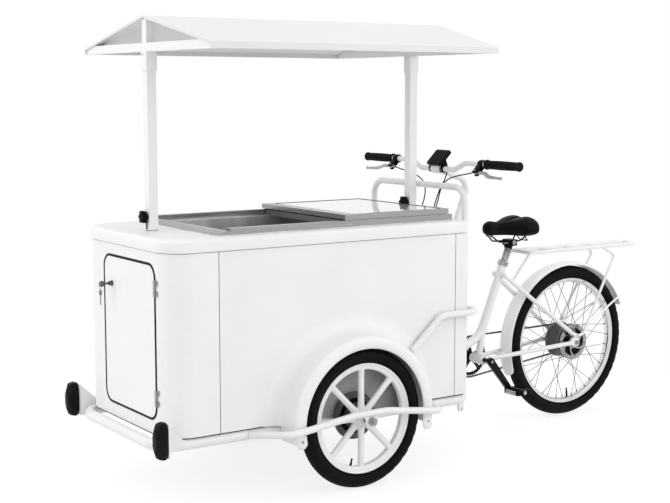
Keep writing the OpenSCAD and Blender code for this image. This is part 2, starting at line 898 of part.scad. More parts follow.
module top_cap() {
  w = side_x + cap_proud;
  y0 = box_y0 - cap_proud;
  y1 = box_y1 + cap_proud;
  rf = corner_r + cap_proud;
  rr = cap_rear_r;
  opening_x = well_w / 2 + sheet_t + fit;
  color("white")
    difference() {
      translate([0, 0, panel_top])
        union() {
          translate([-w + rf, y0 + rf, 0])
            cube([2 * (w - rf), y1 - y0 - rf - rr, cap_h]);
          translate([-w + rf, y0 + rf, 0])
            rotate([90, 0, 90])
              linear_extrude(2 * (w - rf))
                mirror([1, 0])
                  cap_section(rf);
          translate([-w + rr, y1 - rr, 0])
            rotate([90, 0, 90])
              linear_extrude(2 * (w - rr))
                cap_section(rr);
          both_sides()
            translate([w - rf, y1 - rr, 0])
              rotate([90, 0, 0])
                linear_extrude(y1 - rr - y0 - rf)
                  cap_section(rf);
          both_sides() {
            translate([w - rf, y0 + rf, 0])
              rotate([0, 0, -90])
                rotate_extrude(angle = 90)
                  cap_section(rf);
            translate([w - rr, y1 - rr, 0])
              rotate_extrude(angle = 90)
                cap_section(rr);
          }
        }
      translate([-opening_x, well_y0 - sheet_t - fit, panel_top - 1])
        cube([2 * opening_x, well_y1 - well_y0 + 2 * (sheet_t + fit), cap_h + 2]);
    }
}

// Cold well and lids

module steel_frame() {
  lip_h = 12;
  color("silver") {
    both_sides()
      translate([frame_w / 2 - rail_w, frame_y0 + lip_w, flange_top])
        cube([rail_w, frame_y1 - frame_y0 - lip_w, rail_h]);
    translate([-frame_w / 2, frame_y1 - frame_back, flange_top])
      cube([frame_w, frame_back, rail_h]);
    side_plane(-frame_w / 2, frame_y0, flange_top)
      linear_extrude(frame_w)
        polygon([[0, 0], [lip_w + 1, 0], [lip_w + 1, lip_h], [lip_w * 0.6, lip_h], [3, 3]]);
  }
}

module steel_well() {
  ww = well_w / 2 + sheet_t;
  color("silver")
    difference() {
      union() {
        translate([-frame_w / 2, frame_y0, cap_top])
          cube([frame_w, frame_y1 - frame_y0, sheet_t]);
        translate([-ww, well_y0 - sheet_t, well_z - sheet_t])
          cube([2 * ww, well_y1 - well_y0 + 2 * sheet_t, well_depth + sheet_t + 1]);
      }
      translate([-well_w / 2, well_y0, well_z])
        cube([well_w, well_y1 - well_y0, well_depth + 2 * sheet_t]);
    }
}

module insulation() {
  cavity_x = well_w / 2 + sheet_t + fit;
  cavity_y0 = well_y0 - sheet_t - fit;
  color("khaki")
    difference() {
      translate([0, 0, foam_z])
        linear_extrude(panel_top - fit - foam_z)
          difference() {
            box_plan(panel_t + fit);
            translate([-box_w, foam_y0 - box_l])
              square([2 * box_w, box_l]);
          }
      translate([-cavity_x, cavity_y0, well_z - sheet_t - fit])
        cube([2 * cavity_x, well_y1 + sheet_t + fit - cavity_y0, well_depth]);
    }
}

module battery_pack() {
  color("#303338")
    translate([door_x - battery_w / 2, foam_y0 - 0.42 * battery_l, box_z + floor_t])
      difference() {
        cube([battery_w, battery_l, battery_h]);
        translate([0.32 * battery_w, -1, 0.75 * battery_h])
          cube([0.36 * battery_w, 0.12 * battery_l, 0.14 * battery_h]);
      }
}

// Compressor and condenser on one base, behind the battery and under the well
module cooling_unit() {
  base_t = 8;
  top = 0.83 * (foam_z - box_z - floor_t);
  color("#55595c")
    translate([-cooler_w / 2, box_y1 - 5 * panel_t - cooler_l, box_z + floor_t]) {
      cube([cooler_w, cooler_l, base_t]);
      translate([0.26 * cooler_w, 0.6 * cooler_l, base_t - 1])
        cylinder(h = 0.9 * top, d = 0.4 * cooler_w);
      translate([0.58 * cooler_w, 0.12 * cooler_l, base_t - 1])
        cube([0.1 * cooler_w, 0.76 * cooler_l, top]);
    }
}

module lid_frame() {
  x = frame_w / 2 - 4;
  z = rail_top + 3 + fit;
  guide_x = frame_w / 2 - rail_w - fit;
  guide_t = 3;
  color("silver") {
    translate([0, 0, z])
      difference() {
        translate([-x, lid_y0, 0])
          cube([2 * x, lid_l, lid_t]);
        translate([-x + lid_border, lid_y0 + lid_grip, -1])
          cube([2 * (x - lid_border), lid_l - lid_grip - lid_border, lid_t + 2]);
      }
    both_sides() {
      translate([frame_w / 2 - rail_w + 4, lid_y0 + 6, rail_top + fit])
        cube([10, lid_l - 12, 4]);
      translate([guide_x - guide_t, lid_y0 + 6, rail_top - 6])
        cube([guide_t, lid_l - 12, 10]);
    }
  }
}

module lid_panel() {
  x = frame_w / 2 - 4 - lid_border - fit;
  y0 = lid_y0 + lid_grip + fit;
  y1 = lid_y0 + lid_l - lid_border - fit;
  color("white")
    translate([-x, y0, rail_top + 4 + fit])
      cube([2 * x, y1 - y0, lid_t - 2]);
}

module lower_lid() {
  x = frame_w / 2 - rail_w - 2 * fit;
  apron_x = x - 6;
  apron_t = 3;
  color("silver")
    translate([0, lid_y0 + fit, flange_top + fit]) {
      translate([-x, 0, 0])
        cube([2 * x, lid_l - 2 * fit, lower_lid_t]);
      translate([-apron_x, 0, 0])
        cube([2 * apron_x, apron_t, rail_h - 1]);
      translate([-apron_x, 0, rail_h - 3])
        cube([2 * apron_x, 4 * apron_t, 2]);
    }
}

// Door

module door_panel() {
  color("white")
    difference() {
      union() {
        front_plane(door_x0, door_y, door_z)
          linear_extrude(door_t)
            rounded_rect(door_w, door_h, door_r);
        for (z = hinge_zs)
          hinge_half(z + hinge_h / 3 + fit, hinge_h / 3 - 2 * fit, -1, door_y);
      }
      for (z = hinge_zs)
        translate([hinge_x, hinge_y, z - 1])
          cylinder(h = hinge_h + 2, r = hinge_pin_d / 2 + run);
      front_plane(lock_x, door_y - 1, lock_z)
        cylinder(h = door_t + 2, d = lock_d - 4 + 2 * run);
    }
}

// Knuckle and leaf of a hinge; the leaf lies on the face at y, towards side s of the pin
module hinge_half(z, h, s, face_y) {
  leaf_l = 16;
  leaf_t = 2.5;
  translate([hinge_x, hinge_y, z])
    cylinder(h = h, r = knuckle_r);
  translate([hinge_x + (s < 0 ? -leaf_l : 0), face_y - leaf_t, z])
    cube([leaf_l, leaf_t, h]);
}

module door_hinges() {
  color("lightgray")
    for (z = hinge_zs) {
      hinge_half(z, hinge_h / 3, 1, box_y0);
      hinge_half(z + 2 * hinge_h / 3, hinge_h / 3, 1, box_y0);
      translate([hinge_x, hinge_y, z])
        cylinder(h = hinge_h, d = hinge_pin_d);
    }
}

// Rubber ring round the door's edge
module door_seal() {
  color("#181818")
    front_plane(door_x0 - seal_w, door_y + 2, door_z - seal_w)
      linear_extrude(door_t - 4)
        difference() {
          rounded_rect(door_w + 2 * seal_w, door_h + 2 * seal_w, door_r + seal_w);
          translate([seal_w - fit, seal_w - fit])
            rounded_rect(door_w + 2 * fit, door_h + 2 * fit, door_r + fit);
        }
}

plug_d = 10;
barrel_out = 13;

module door_lock() {
  color("silver")
    difference() {
      union() {
        front_plane(lock_x, door_y - barrel_out, lock_z)
          cylinder(h = barrel_out + door_t + 6, d = lock_d - 4);
        front_plane(lock_x, door_y - 4, lock_z)
          cylinder(h = 4, d = lock_d);
      }
      front_plane(lock_x, door_y - barrel_out - 1, lock_z)
        cylinder(h = barrel_out + door_t + 10, r = plug_d / 2 + run);
    }
}

// Key in the lock, with the latch cam that it turns behind the door
module door_key() {
  y0 = door_y - barrel_out;
  blade_out = 20;
  bow_d = 22;
  cam_y = door_y + door_t + 6 + fit;
  color("silver") {
    front_plane(lock_x, y0 - 1, lock_z)
      cylinder(h = cam_y + 5 - y0 + 1, d = plug_d);
    front_plane(lock_x, y0 - blade_out, lock_z)
      translate([-1.2, -4, 0])
        cube([2.4, 8, blade_out]);
    side_plane(lock_x - 1.2, y0 - blade_out - bow_d / 2 + 3, lock_z)
      difference() {
        cylinder(h = 2.4, d = bow_d);
        translate([-5, 0, -1])
          cylinder(h = 5, d = 5);
      }
    translate([lock_x - 8, cam_y, lock_z - lock_in - door_gap - 14])
      cube([16, 4, lock_in + door_gap + 22]);
  }
}

// Canopy

// Square stubs on the deck that the posts slide over
module post_sockets() {
  s = post_s - 2 * post_wall - 2 * fit;
  color("silver")
    for (y = [post_y0, post_y1])
      translate([0, y, cap_top]) {
        translate([-s / 2, -s / 2, 0])
          cube([s, s, socket_h]);
        translate([-post_s / 2, -post_s / 2, 0])
          cube([post_s, post_s, post_foot]);
      }
}

module canopy_posts() {
  z0 = cap_top + post_foot + fit;
  inner = post_s - 2 * post_wall;
  color("white")
    for (y = [post_y0, post_y1])
      difference() {
        translate([-post_s / 2, y - post_s / 2, z0])
          cube([post_s, post_s, eave_z - fit - z0]);
        translate([-inner / 2, y - inner / 2, z0 - 1])
          cube([inner, inner, eave_z - z0 + 2]);
        front_plane(0, y - post_s, cap_top + knob_up)
          cylinder(h = post_s, r = knob_stud_r + run);
      }
}

module canopy_frame() {
  s = post_s + 2 * fit;
  out = s + 2 * sleeve_wall;
  tie_x = canopy_w / 2 - 6 - fit;
  slope = 2 * roof_rise / canopy_w;
  under = ridge_z - roof_t - fit;
  tie_top = eave_z + tie_h;
  beam_s = 20;
  beam_top = under - beam_s / 2 * slope;
  color("white") {
    for (y = [post_y0, post_y1]) {
      front_plane(0, y - tie_w / 2, 0)
        linear_extrude(tie_w)
          polygon([[-tie_x, eave_z], [tie_x, eave_z], [tie_x, under - tie_x * slope], [(under - tie_top) / slope, tie_top],
            [(tie_top - under) / slope, tie_top], [-tie_x, under - tie_x * slope]]);
      translate([-post_s / 2, y - tie_w / 2, tie_top - 1])
        cube([post_s, tie_w, under - post_s / 2 * slope - tie_top + 1]);
      difference() {
        translate([-out / 2, y - out / 2, eave_z - sleeve_h])
          cube([out, out, sleeve_h + 0.5]);
        translate([-s / 2, y - s / 2, eave_z - sleeve_h - 1])
          cube([s, s, sleeve_h + 1]);
      }
    }
    translate([-beam_s / 2, post_y0, beam_top - beam_s])
      cube([beam_s, post_y1 - post_y0, beam_s]);
  }
}

module canopy_roof() {
  w = canopy_w / 2;
  edge = 6;
  eave_top = eave_z + fascia_h;
  slope = roof_rise / w;
  past = 10;
  back = canopy_y1 - ridge_over * past / w;
  color("whitesmoke")
    intersection() {
      translate([0, canopy_y1 + 2 * ridge_over, 0])
        rotate([90, 0, 0])
          linear_extrude(canopy_y1 - canopy_y0 + 4 * ridge_over)
            polygon([[0, ridge_z], [w, eave_top], [w, eave_z], [w - edge, eave_z],
              [w - edge, eave_top - roof_t + edge * slope], [0, ridge_z - roof_t],
              [-w + edge, eave_top - roof_t + edge * slope], [-w + edge, eave_z], [-w, eave_z],
              [-w, eave_top]]);
      translate([0, 0, eave_z - 20])
        linear_extrude(ridge_z - eave_z + 40)
          polygon([[w + past, canopy_y0], [w + past, back], [0, canopy_y1 + ridge_over], [-w - past, back],
            [-w - past, canopy_y0]]);
    }
}

knob_stud_r = 4;

// Six lobed knob whose stud clamps a post on its stub
module clamp_knob(post_y) {
  gap = 4;
  thick = 16;
  lobe_r = knob_d / 6;
  face = post_y - post_s / 2;
  tip = post_y - post_s / 2 + post_wall + fit / 2;
  color("#181818")
    translate([0, 0, cap_top + knob_up]) {
      front_plane(0, face - gap - thick, 0) {
        cylinder(h = thick, d = knob_d - 2 * lobe_r);
        for (i = [0:5])
          rotate([0, 0, 60 * i])
            translate([knob_d / 2 - lobe_r, 0, 0])
              cylinder(h = thick, r = lobe_r);
      }
      front_plane(0, face - gap - 1, 0)
        cylinder(h = tip - face + gap + 1, r = knob_stud_r);
      front_plane(0, face - gap - 1, 0)
        cylinder(h = gap + 1 - fit, r = knob_stud_r + 4);
    }
}

module front_knob() {
  clamp_knob(post_y0);
}

module rear_knob() {
  clamp_knob(post_y1);
}

// Handles and controls

module push_bar() {
  foot_z = panel_top - 90;
  path = [[-push_w / 2, push_y, foot_z], [-push_w / 2, push_y, push_z], [push_w / 2, push_y, push_z],
    [push_w / 2, push_y, foot_z]];
  color("white") {
    bent_tube(path, guard_r, 60);
    both_sides()
      for (z = [foot_z + 15, panel_top - 20])
        rod([push_w / 2, box_y1, z], [push_w / 2, push_y, z], 8);
  }
}

// Swan neck tube from the steering yoke to the handlebar, with the clamp at its end
module handlebar_riser() {
  foot = [0, (tube_y1 - 6 + web_y1) / 2, lug_z1 + lug_t];
  elbow_at = [0, box_y1 + neck_reach, bar_z - neck_drop];
  tube_r = 13;
  clamp_w = 52;
  color("white")
    difference() {
      union() {
        bent_tube([foot, foot + [0, 0, 46], elbow_at, [0, bar_y + 8, bar_z - 4]], tube_r, 50);
        side_plane(-clamp_w / 2, bar_y, bar_z)
          cylinder(h = clamp_w, r = bar_r + 8);
      }
      side_plane(-clamp_w, bar_y, bar_z)
        cylinder(h = 2 * clamp_w, r = bar_r + fit);
    }
}

module handlebar() {
  path = [[-bar_l / 2, bar_y, bar_top], [-175, bar_y, bar_top], [-105, bar_y, bar_z], [105, bar_y, bar_z],
    [175, bar_y, bar_top], [bar_l / 2, bar_y, bar_top]];
  color("white")
    bent_tube(path, bar_r, 60);
}

module grips() {
  end_t = 5;
  flange_d = grip_d + 4;
  color("#181818")
    both_sides()
      difference() {
        union() {
          side_plane(grip_x, bar_y, bar_top)
            cylinder(h = grip_l + end_t, d = grip_d);
          side_plane(grip_x, bar_y, bar_top)
            cylinder(h = 6, d = flange_d);
        }
        side_plane(grip_x - 1, bar_y, bar_top)
          cylinder(h = grip_l + 1 + fit, r = bar_r + fit);
      }
}

// Clamps on the handlebar that hold the brake levers
module lever_mounts() {
  fork_t = 6;
  lever_t = 10;
  axis = [0, -1, 1] / sqrt(2);
  p = [mount_x, lever_pivot_y, lever_pivot_z];
  color("#202224")
    both_sides()
      difference() {
        union() {
          side_plane(mount_x - mount_w / 2, bar_y, bar_top)
            cylinder(h = mount_w, r = bar_r + 6);
          for (s = [-1, 1])
            translate(p + axis * s * (lever_t / 2 + fit + fork_t / 2))
              rotate([45, 0, 0])
                translate([-mount_w / 2, -12, -fork_t / 2])
                  cube([mount_w, 42, fork_t]);
        }
        side_plane(mount_x - mount_w, bar_y, bar_top)
          cylinder(h = 2 * mount_w, r = bar_r + fit);
        rod(p - axis * 20, p + axis * 20, lever_pin_r + run);
      }
}

lever_pin_r = 3;

// Bent brake lever with its pivot pin and a ball at the end
module brake_lever() {
  axis = [0, -1, 1] / sqrt(2);
  p = [mount_x, lever_pivot_y, lever_pivot_z];
  out = (lever_y - lever_pivot_y) * [0, 1, 0] + (lever_z - lever_pivot_z) * [0, 0, 1];
  b = p + [52, 0, 0] + out * 0.2;
  c = p + [86, 0, 0] + out;
  d = [mount_x + 160, lever_y - 2, lever_z - 2];
  color("silver") {
    rod(p - axis * 11, p + axis * 11, lever_pin_r);
    rod(p - axis * 5, p + axis * 5, 9);
    bent_tube([p, b, c, d], 4.6, 30);
    translate(d)
      sphere(6.5);
  }
}

module lever_left() {
  brake_lever();
}

module lever_right() {
  mirror([1, 0, 0])
    brake_lever();
}

// Display on a clamp at the middle of the handlebar
module display() {
  size = [92, 78, 13];
  tilt = 45;
  ring_w = 16;
  ring_x = clamp_clear;
  color("#181818")
    difference() {
      union() {
        translate([0, bar_y + 4, bar_z + 45])
          rotate([tilt, 0, 0])
            translate(-size / 2)
              cube(size);
        for (s = [-1, 1]) {
          side_plane(s * ring_x - ring_w / 2, bar_y, bar_z)
            cylinder(h = ring_w, r = bar_r + 4);
          translate([s * ring_x - ring_w / 2, bar_y - 6, bar_z + bar_r])
            cube([ring_w, 16, 26]);
        }
      }
      side_plane(-size[0], bar_y, bar_z)
        cylinder(h = 2 * size[0], r = bar_r + fit);
    }
}

clamp_clear = 37;

module control_cables() {
  color("#181818") {
    both_sides()
      swept_tube(cable, 2.5, 8);
    swept_tube(display_cable, 2.5, 8);
  }
}

// Pin of the steering joint, with a head and a nut
module steering_pin() {
  z0 = lug_z0;
  z1 = lug_z1 + lug_t;
  color("silver")
    translate([0, hy, 0]) {
      translate([0, 0, z0 - 10])
        cylinder(h = z1 - z0 + 20, d = pin_d);
      for (z = [z0 - 12 - fit, z1 + fit])
        translate([0, 0, z])
          cylinder(h = 12, d = pin_d + 14, $fn = 6);
    }
}

// Rear frame

module rear_frame() {
  shell_w = 72;
  shell_r = 21;
  front = [0, hy + head_d / 2 - 6, knee_z - 38];
  branch = knee + seat_dir * 78;
  drop = [drop_x, ry, rear_r];
  plate_y = 34;
  color("white")
    difference() {
      union() {
        bent_tube([front, knee, seat_top], main_d / 2, 130);
        translate([0, hy, head_z])
          cylinder(h = head_l, d = head_d);
        rod(branch, [0, by, crank_z], main_d / 2 - 3);
        side_plane(-shell_w / 2, by, crank_z)
          cylinder(h = shell_w, r = shell_r);
        both_sides() {
          rod([stay_x - 10, by, crank_z], [stay_x, by + 12, crank_z], stay_d / 2);
          rod([stay_x, by + 8, crank_z], drop + [0, -plate_y + 8, 0], stay_d / 2);
          rod([stay_x - 2, stay_top[1] - 4, stay_top[2] + 3], drop + [0, -8, 30], stay_d / 2);
          rod([0, stay_top[1], stay_top[2]], [stay_x, stay_top[1], stay_top[2]], stay_d / 2 - 1);
          side_plane(drop_x - drop_t / 2, ry, rear_r)
            linear_extrude(drop_t)
              polygon([[-plate_y, -10], [-8, -16], [14, -16], [16, 8], [6, 40], [-16, 40], [-plate_y, 10]]);
        }
        rod([-stay_x - 14, bridge_y, bridge_z], [stay_x + 14, bridge_y, bridge_z], bridge_r);
      }
      translate([0, hy, head_z - 1])
        cylinder(h = head_l + 2, r = pin_d / 2 + run);
      rod(seat_top - seat_dir * (seat_in + 45), seat_top + seat_dir * 2, seat_post_d / 2 + run);
      side_plane(-shell_w, by, crank_z)
        cylinder(h = 2 * shell_w, r = crank_axle_r + run);
      side_plane(-2 * drop_x, ry, rear_r)
        cylinder(h = 4 * drop_x, r = rear_axle_d / 2 + run);
    }
}

crank_axle_r = 9;

// Arched mudguard over the rear wheel, with its stays and end plate
module rear_mudguard() {
  crown = 10;
  from = 22;
  sweep = 178;
  w = mudguard_w / 2;
  tail = from + 8;
  edge_r = mudguard_r - crown + 1;
  start = [w - 1, ry + edge_r * cos(tail), rear_r + edge_r * sin(tail)];
  leg_dir = unit(rack_knee - rack_foot);
  hold = rack_foot + leg_dir * 44;
  across = (start - hold) - leg_dir * ((start - hold) * leg_dir);
  bridge = [bridge_y - ry, bridge_z - rear_r];
  outside = mudguard_r + mudguard_t - 1;
  color("white") {
    side_plane(0, ry, rear_r)
      rotate([0, 0, from])
        rotate_extrude(angle = sweep)
          polygon([[mudguard_r - crown, -w], [mudguard_r + mudguard_t - crown, -w - 0.5],
            [mudguard_r + mudguard_t - 2, -w * 0.6], [mudguard_r + mudguard_t, 0],
            [mudguard_r + mudguard_t - 2, w * 0.6], [mudguard_r + mudguard_t - crown, w + 0.5],
            [mudguard_r - crown, w], [mudguard_r - 2, w * 0.6], [mudguard_r, 0],
            [mudguard_r - 2, -w * 0.6]]);
    both_sides()
      rod(start, hold + unit(across) * (rack_leg_r + 4.3), 4.5);
    side_plane(0, ry, rear_r) {
      rotate([0, 0, tail])
        translate([outside, -39, -24])
          cube([3, 78, 48]);
      rotate([0, 0, atan2(bridge[1], bridge[0])])
        translate([outside, -6, -10])
          cube([norm(bridge) - bridge_r - fit - outside, 12, 20]);
    }
  }
}

// Luggage rack: a loop with cross bars, on two pairs of legs
module rear_rack() {
  w = rack_w / 2;
  r = rack_d / 2;
  strut_x = stay_x + stay_d / 2 + rack_leg_r - 1.5;
  loop = [[0, rack_y0, rack_z], [w, rack_y0, rack_z], [w, rack_y1 - 60, rack_z], [w * 0.6, rack_y1, rack_z],
    [-w * 0.6, rack_y1, rack_z], [-w, rack_y1 - 60, rack_z], [-w, rack_y0, rack_z], [0, rack_y0, rack_z]];
  color("white") {
    bent_tube(loop, r, 20);
    for (i = [1:3])
      translate([0, rack_y0 + i * (rack_y1 - rack_y0) / 4.6, rack_z])
        rod([-w, 0, 0], [w, 0, 0], r - 1);
    both_sides() {
      rod([w * 0.55, rack_y0 + 30, rack_z], [w * 0.55, rack_y1 - 6, rack_z], r - 2);
      bent_tube([[w, rack_knee[1] - 70, rack_z], rack_knee, rack_foot, rack_foot + [0, -32, -10]], rack_leg_r, 15);
      rod([w, rack_y0 + 4, rack_z], [strut_x, stay_top[1] + 41, stay_top[2] - 18], rack_leg_r);
    }
  }
}

// Axle of the rear wheel, with a nut at each end
module rear_axle() {
  x = drop_x + drop_t / 2 + 14;
  color("silver") {
    side_plane(-x, ry, rear_r)
      cylinder(h = 2 * x, d = rear_axle_d);
    both_sides()
      side_plane(drop_x + drop_t / 2 + fit, ry, rear_r)
        cylinder(h = 9, d = rear_axle_d + 8, $fn = 6);
  }
}

// Closed loop of chain round the chainring and the sprocket
module drive_chain() {
  d = norm([ry - by, rear_r - crank_z]);
  lean = atan2(rear_r - crank_z, ry - by);
  phi = asin((ring_r - cog_r) / d);
  color("#3a3a3a")
    side_plane(-chain_x - chain_w / 2, by, crank_z)
      rotate([0, 0, lean])
        linear_extrude(chain_w) {
          chain_arc(ring_r, phi, -1);
          translate([d, 0])
            chain_arc(cog_r, phi, 1);
          for (s = [-1, 1])
            rotate(-s * phi)
              translate([-3, s * ring_r - chain_half + 0.1])
                square([d * cos(phi) + 6, 2 * chain_half - 0.2]);
        }
}

// Part of the chain that lies on a toothed wheel, on side s
module chain_arc(r, phi, s) {
  far = 3 * r;
  intersection() {
    difference() {
      circle(r + chain_half);
      circle(r - chain_half);
    }
    polygon([[0, 0], [far * sin(phi), far * cos(phi)], [s * far, far], [s * far, -far],
      [far * sin(phi), -far * cos(phi)]]);
  }
}

// Seat

// Post with the clamp at its head and the two wire rails under the saddle
module seat_post() {
  rail_x = 22;
  clamp_w = 2.5 * seat_post_d;
  rail_top_z = saddle_z - 3;
  rail_low_z = saddle_at[2] + 8;
  color("silver")
    difference() {
      union() {
        rod(seat_top - seat_dir * seat_in, saddle_at, seat_post_d / 2);
        rod(saddle_at - seat_dir * 26, saddle_at, seat_post_d / 2 + 5);
        translate([-clamp_w / 2, saddle_at[1] - 20, saddle_at[2] - 12])
          cube([clamp_w, 1.6 * seat_post_d, 28]);
        both_sides()
          bent_tube([[rail_x * 0.6, saddle_y0 + 0.147 * saddle_l, rail_top_z],
            [rail_x, saddle_y0 + 0.294 * saddle_l, rail_low_z], [rail_x, saddle_y0 + 0.6985 * saddle_l, rail_low_z],
            [rail_x * 1.6, saddle_y0 + 0.831 * saddle_l, rail_top_z]], 3.5, 24);
      }
      rod(seat_top - seat_dir * (seat_in + 1), saddle_at - seat_dir * 30, seat_post_d / 2 - 3);
    }
}

// Half width of the saddle's pad at a share t of its length
function saddle_half(t) = let (u = max(0, min(1, (t - 0.22) / 0.5)), s = u * u * (3 - 2 * u))
  (nose_w / 2 + (saddle_w / 2 - nose_w / 2) * s) * sqrt(max(0.02, 1 - pow(max(0, (0.16 - t) / 0.16), 2.2)))
  * sqrt(max(0.05, 1 - pow(max(0, (t - 0.84) / 0.16), 2.4) * 0.8));

// Height of the pad's top line at share t
function saddle_crown(t) = saddle_h * (0.7 + 0.3 * pow(abs(2 * t - 0.86), 1.6));

// Padded seat with a channel along the middle and two lobes at the back
module saddle() {
  rings = 22;
  sides = 28;
  points = [for (i = [0:rings], k = [0:sides - 1])
    let (t = i / rings, a = 360 * k / sides, hw = saddle_half(t),
      x = hw * sign(cos(a)) * pow(abs(cos(a)), 0.8),
      dip = saddle_dip * exp(-pow(x / 20, 2)) * max(0, min(1, (t - 0.15) / 0.4)) * (sin(a) > 0 ? 1 : 0),
      rear = pow(max(0, (t - 0.8) / 0.2), 2),
      top = saddle_crown(t) - dip - 10 * rear,
      low = 4 + 10 * (1 - pow(min(1, abs(x) / (saddle_w / 2)), 1.2)) * (1 - rear))
    [x, saddle_y0 + t * saddle_l, saddle_z + (sin(a) >= 0 ? low + (top - low) * pow(sin(a), 0.62)
      : low - low * pow(-sin(a), 0.8))]];
  side_faces = [for (i = [0:rings - 1], k = [0:sides - 1])
    let (a = i * sides + k, b = i * sides + (k + 1) % sides)
    each [[a, a + sides, b], [b, a + sides, b + sides]]];
  end_faces = [for (k = [1:sides - 2]) each [[0, k, k + 1],
    [rings * sides, rings * sides + k + 1, rings * sides + k]]];
  color("#181818")
    polyhedron(points, concat(side_faces, end_faces));
}

// Rear wheel and drive

module rear_tyre() {
  side_plane(0, ry, rear_r)
    tyre(rear_wheel_d, rear_rim_d, rear_tyre_w);
}

module rear_rim() {
  color("gainsboro")
    side_plane(0, ry, rear_r)
      rim_ring(rear_rim_d);
}

flange_w = 12;

// Wire spokes: pairs lean forward and back from the two flanges of the motor
module wire_spokes_set() {
  r0 = motor_d / 2 + 2 * fit + spoke_d * 0.4;
  r1 = rear_rim_d / 2 - rim_depth - 2 * fit;
  lean = 38;
  color("silver")
    side_plane(0, ry, rear_r)
      for (i = [0:wire_spokes - 1]) {
        s = i % 2 == 0 ? 1 : -1;
        w = floor(i / 2) % 2 == 0 ? 1 : -1;
        a = 360 * i / wire_spokes;
        x0 = s * (motor_w / 2 - flange_w / 2 + w * 2.5);
        rod([r0 * cos(a + w * lean), r0 * sin(a + w * lean), x0], [r1 * cos(a), r1 * sin(a), s * (5 + w * 1.5)],
          spoke_d / 2);
      }
}

module hub_motor() {
  cover_d = motor_d * 0.72;
  boss_w = 4;
  color("#5c5f62")
    side_plane(0, ry, rear_r)
      difference() {
        union() {
          translate([0, 0, -motor_w / 2 + flange_w])
            cylinder(h = motor_w - 2 * flange_w, d = motor_d - 10);
          for (z = [-motor_w / 2, motor_w / 2 - flange_w])
            translate([0, 0, z])
              cylinder(h = flange_w, d = motor_d);
          translate([0, 0, -motor_w / 2 - boss_w])
            cylinder(h = motor_w + 2 * boss_w, d = cover_d * 0.6);
          translate([0, 0, motor_w / 2 + boss_w - 1])
            cylinder(h = rotor_x - rotor_t / 2 - motor_w / 2 - boss_w + 1, d = 58);
        }
        translate([0, 0, -motor_w])
          cylinder(h = 2 * motor_w, r = rear_axle_d / 2 + run);
      }
}

rotor_x = motor_w / 2 + 14;

// Brake rotor: an outer ring on five arms
module rear_rotor() {
  hole_r = rear_axle_d / 2 + 3;
  color("silver")
    side_plane(rotor_x - rotor_t / 2 + fit / 3, ry, rear_r)
      linear_extrude(rotor_t) {
        difference() {
          circle(d = rotor_d);
          circle(d = rotor_d - 36);
        }
        difference() {
          union() {
            circle(d = 58);
            for (i = [0:4])
              rotate(72 * i)
                translate([0, -7])
                  square([rotor_d / 2 - 10, 14]);
          }
          circle(hole_r);
        }
      }
}

// Toothed disc with round notches between its teeth
module toothed_disc(pitch_r, teeth, thick) {
  linear_extrude(thick)
    difference() {
      circle(pitch_r - chain_half - fit);
      for (i = [0:teeth - 1])
        rotate(360 * (i + 0.5) / teeth)
          translate([pitch_r - chain_half + 1.5, 0])
            circle(r = 3.4, $fn = 8);
    }
}

module sprocket() {
  boss_w = drop_x - drop_t / 2 - 3 - chain_x;
  color("#4a4a4a")
    side_plane(-chain_x - 1.5, ry, rear_r)
      difference() {
        union() {
          toothed_disc(cog_r, cog_teeth, 3);
          translate([0, 0, -boss_w])
            cylinder(h = boss_w + 3, d = 44);
        }
        translate([0, 0, -20])
          cylinder(h = 60, r = rear_axle_d / 2 + run);
      }
}

// Crank axle, both arms and the chainring
module crankset() {
  axle_x = crank_x + crank_t;
  color("#1c1c1c") {
    side_plane(-axle_x, by, crank_z)
      cylinder(h = 2 * axle_x, r = crank_axle_r);
    for (s = [-1, 1])
      crank_arm(s);
    side_plane(-chain_x - 1.5, by, crank_z) {
      difference() {
        toothed_disc(ring_r, ring_teeth, 3);
        translate([0, 0, -1])
          cylinder(h = 5, r = ring_r - 22);
      }
      for (i = [0:4])
        rotate([0, 0, 72 * i + 20])
          translate([14, -8, 0.2])
            cube([ring_r - 30, 16, 2.6]);
      translate([0, 0, chain_x - crank_x - crank_t + 3])
        cylinder(h = crank_x + crank_t - chain_x + 1, r = 22);
    }
  }
}

pedal_pin_r = 6;

module crank_arm(s) {
  x0 = s > 0 ? crank_x : -crank_x - crank_t;
  difference() {
    union() {
      side_plane(x0, by, crank_z)
        cylinder(h = crank_t, r = 17);
      side_plane(x0, by + s * crank_end[0], crank_z + s * crank_end[1])
        cylinder(h = crank_t, r = 13);
      side_plane(x0 + 1, by, crank_z)
        rotate([0, 0, atan2(s * crank_end[1], s * crank_end[0])])
          linear_extrude(crank_t - 2)
            polygon([[0, -14], [crank_l, -11], [crank_l, 11], [0, 14]]);
    }
    side_plane(x0 - 1, by + s * crank_end[0], crank_z + s * crank_end[1])
      cylinder(h = crank_t + 2, r = pedal_pin_r + run);
  }
}

// Pedal on its spindle: a frame of two treads and two end plates
module pedal(s) {
  x0 = crank_x + crank_t + 4;
  y = by + s * crank_end[0];
  z = crank_z + s * crank_end[1];
  tread = 18;
  color("#1c1c1c")
    translate([0, y, z])
        mirror([s > 0 ? 0 : 1, 0, 0]) {
          side_plane(crank_x, 0, 0)
            cylinder(h = x0 - crank_x + pedal_l - 4, r = pedal_pin_r);
          difference() {
            translate([x0, -pedal_w / 2, -pedal_h / 2])
              cube([pedal_l, pedal_w, pedal_h]);
            for (t = [-1, 1])
              translate([x0 + 12, t * (pedal_w / 4 - tread / 4 + 3) - (pedal_w / 4 - tread / 2 - 2), -pedal_h])
                cube([pedal_l - 24, pedal_w / 2 - tread - 4, 2 * pedal_h]);
          }
        }
}

module pedal_left() {
  pedal(1);
}

module pedal_right() {
  pedal(-1);
}

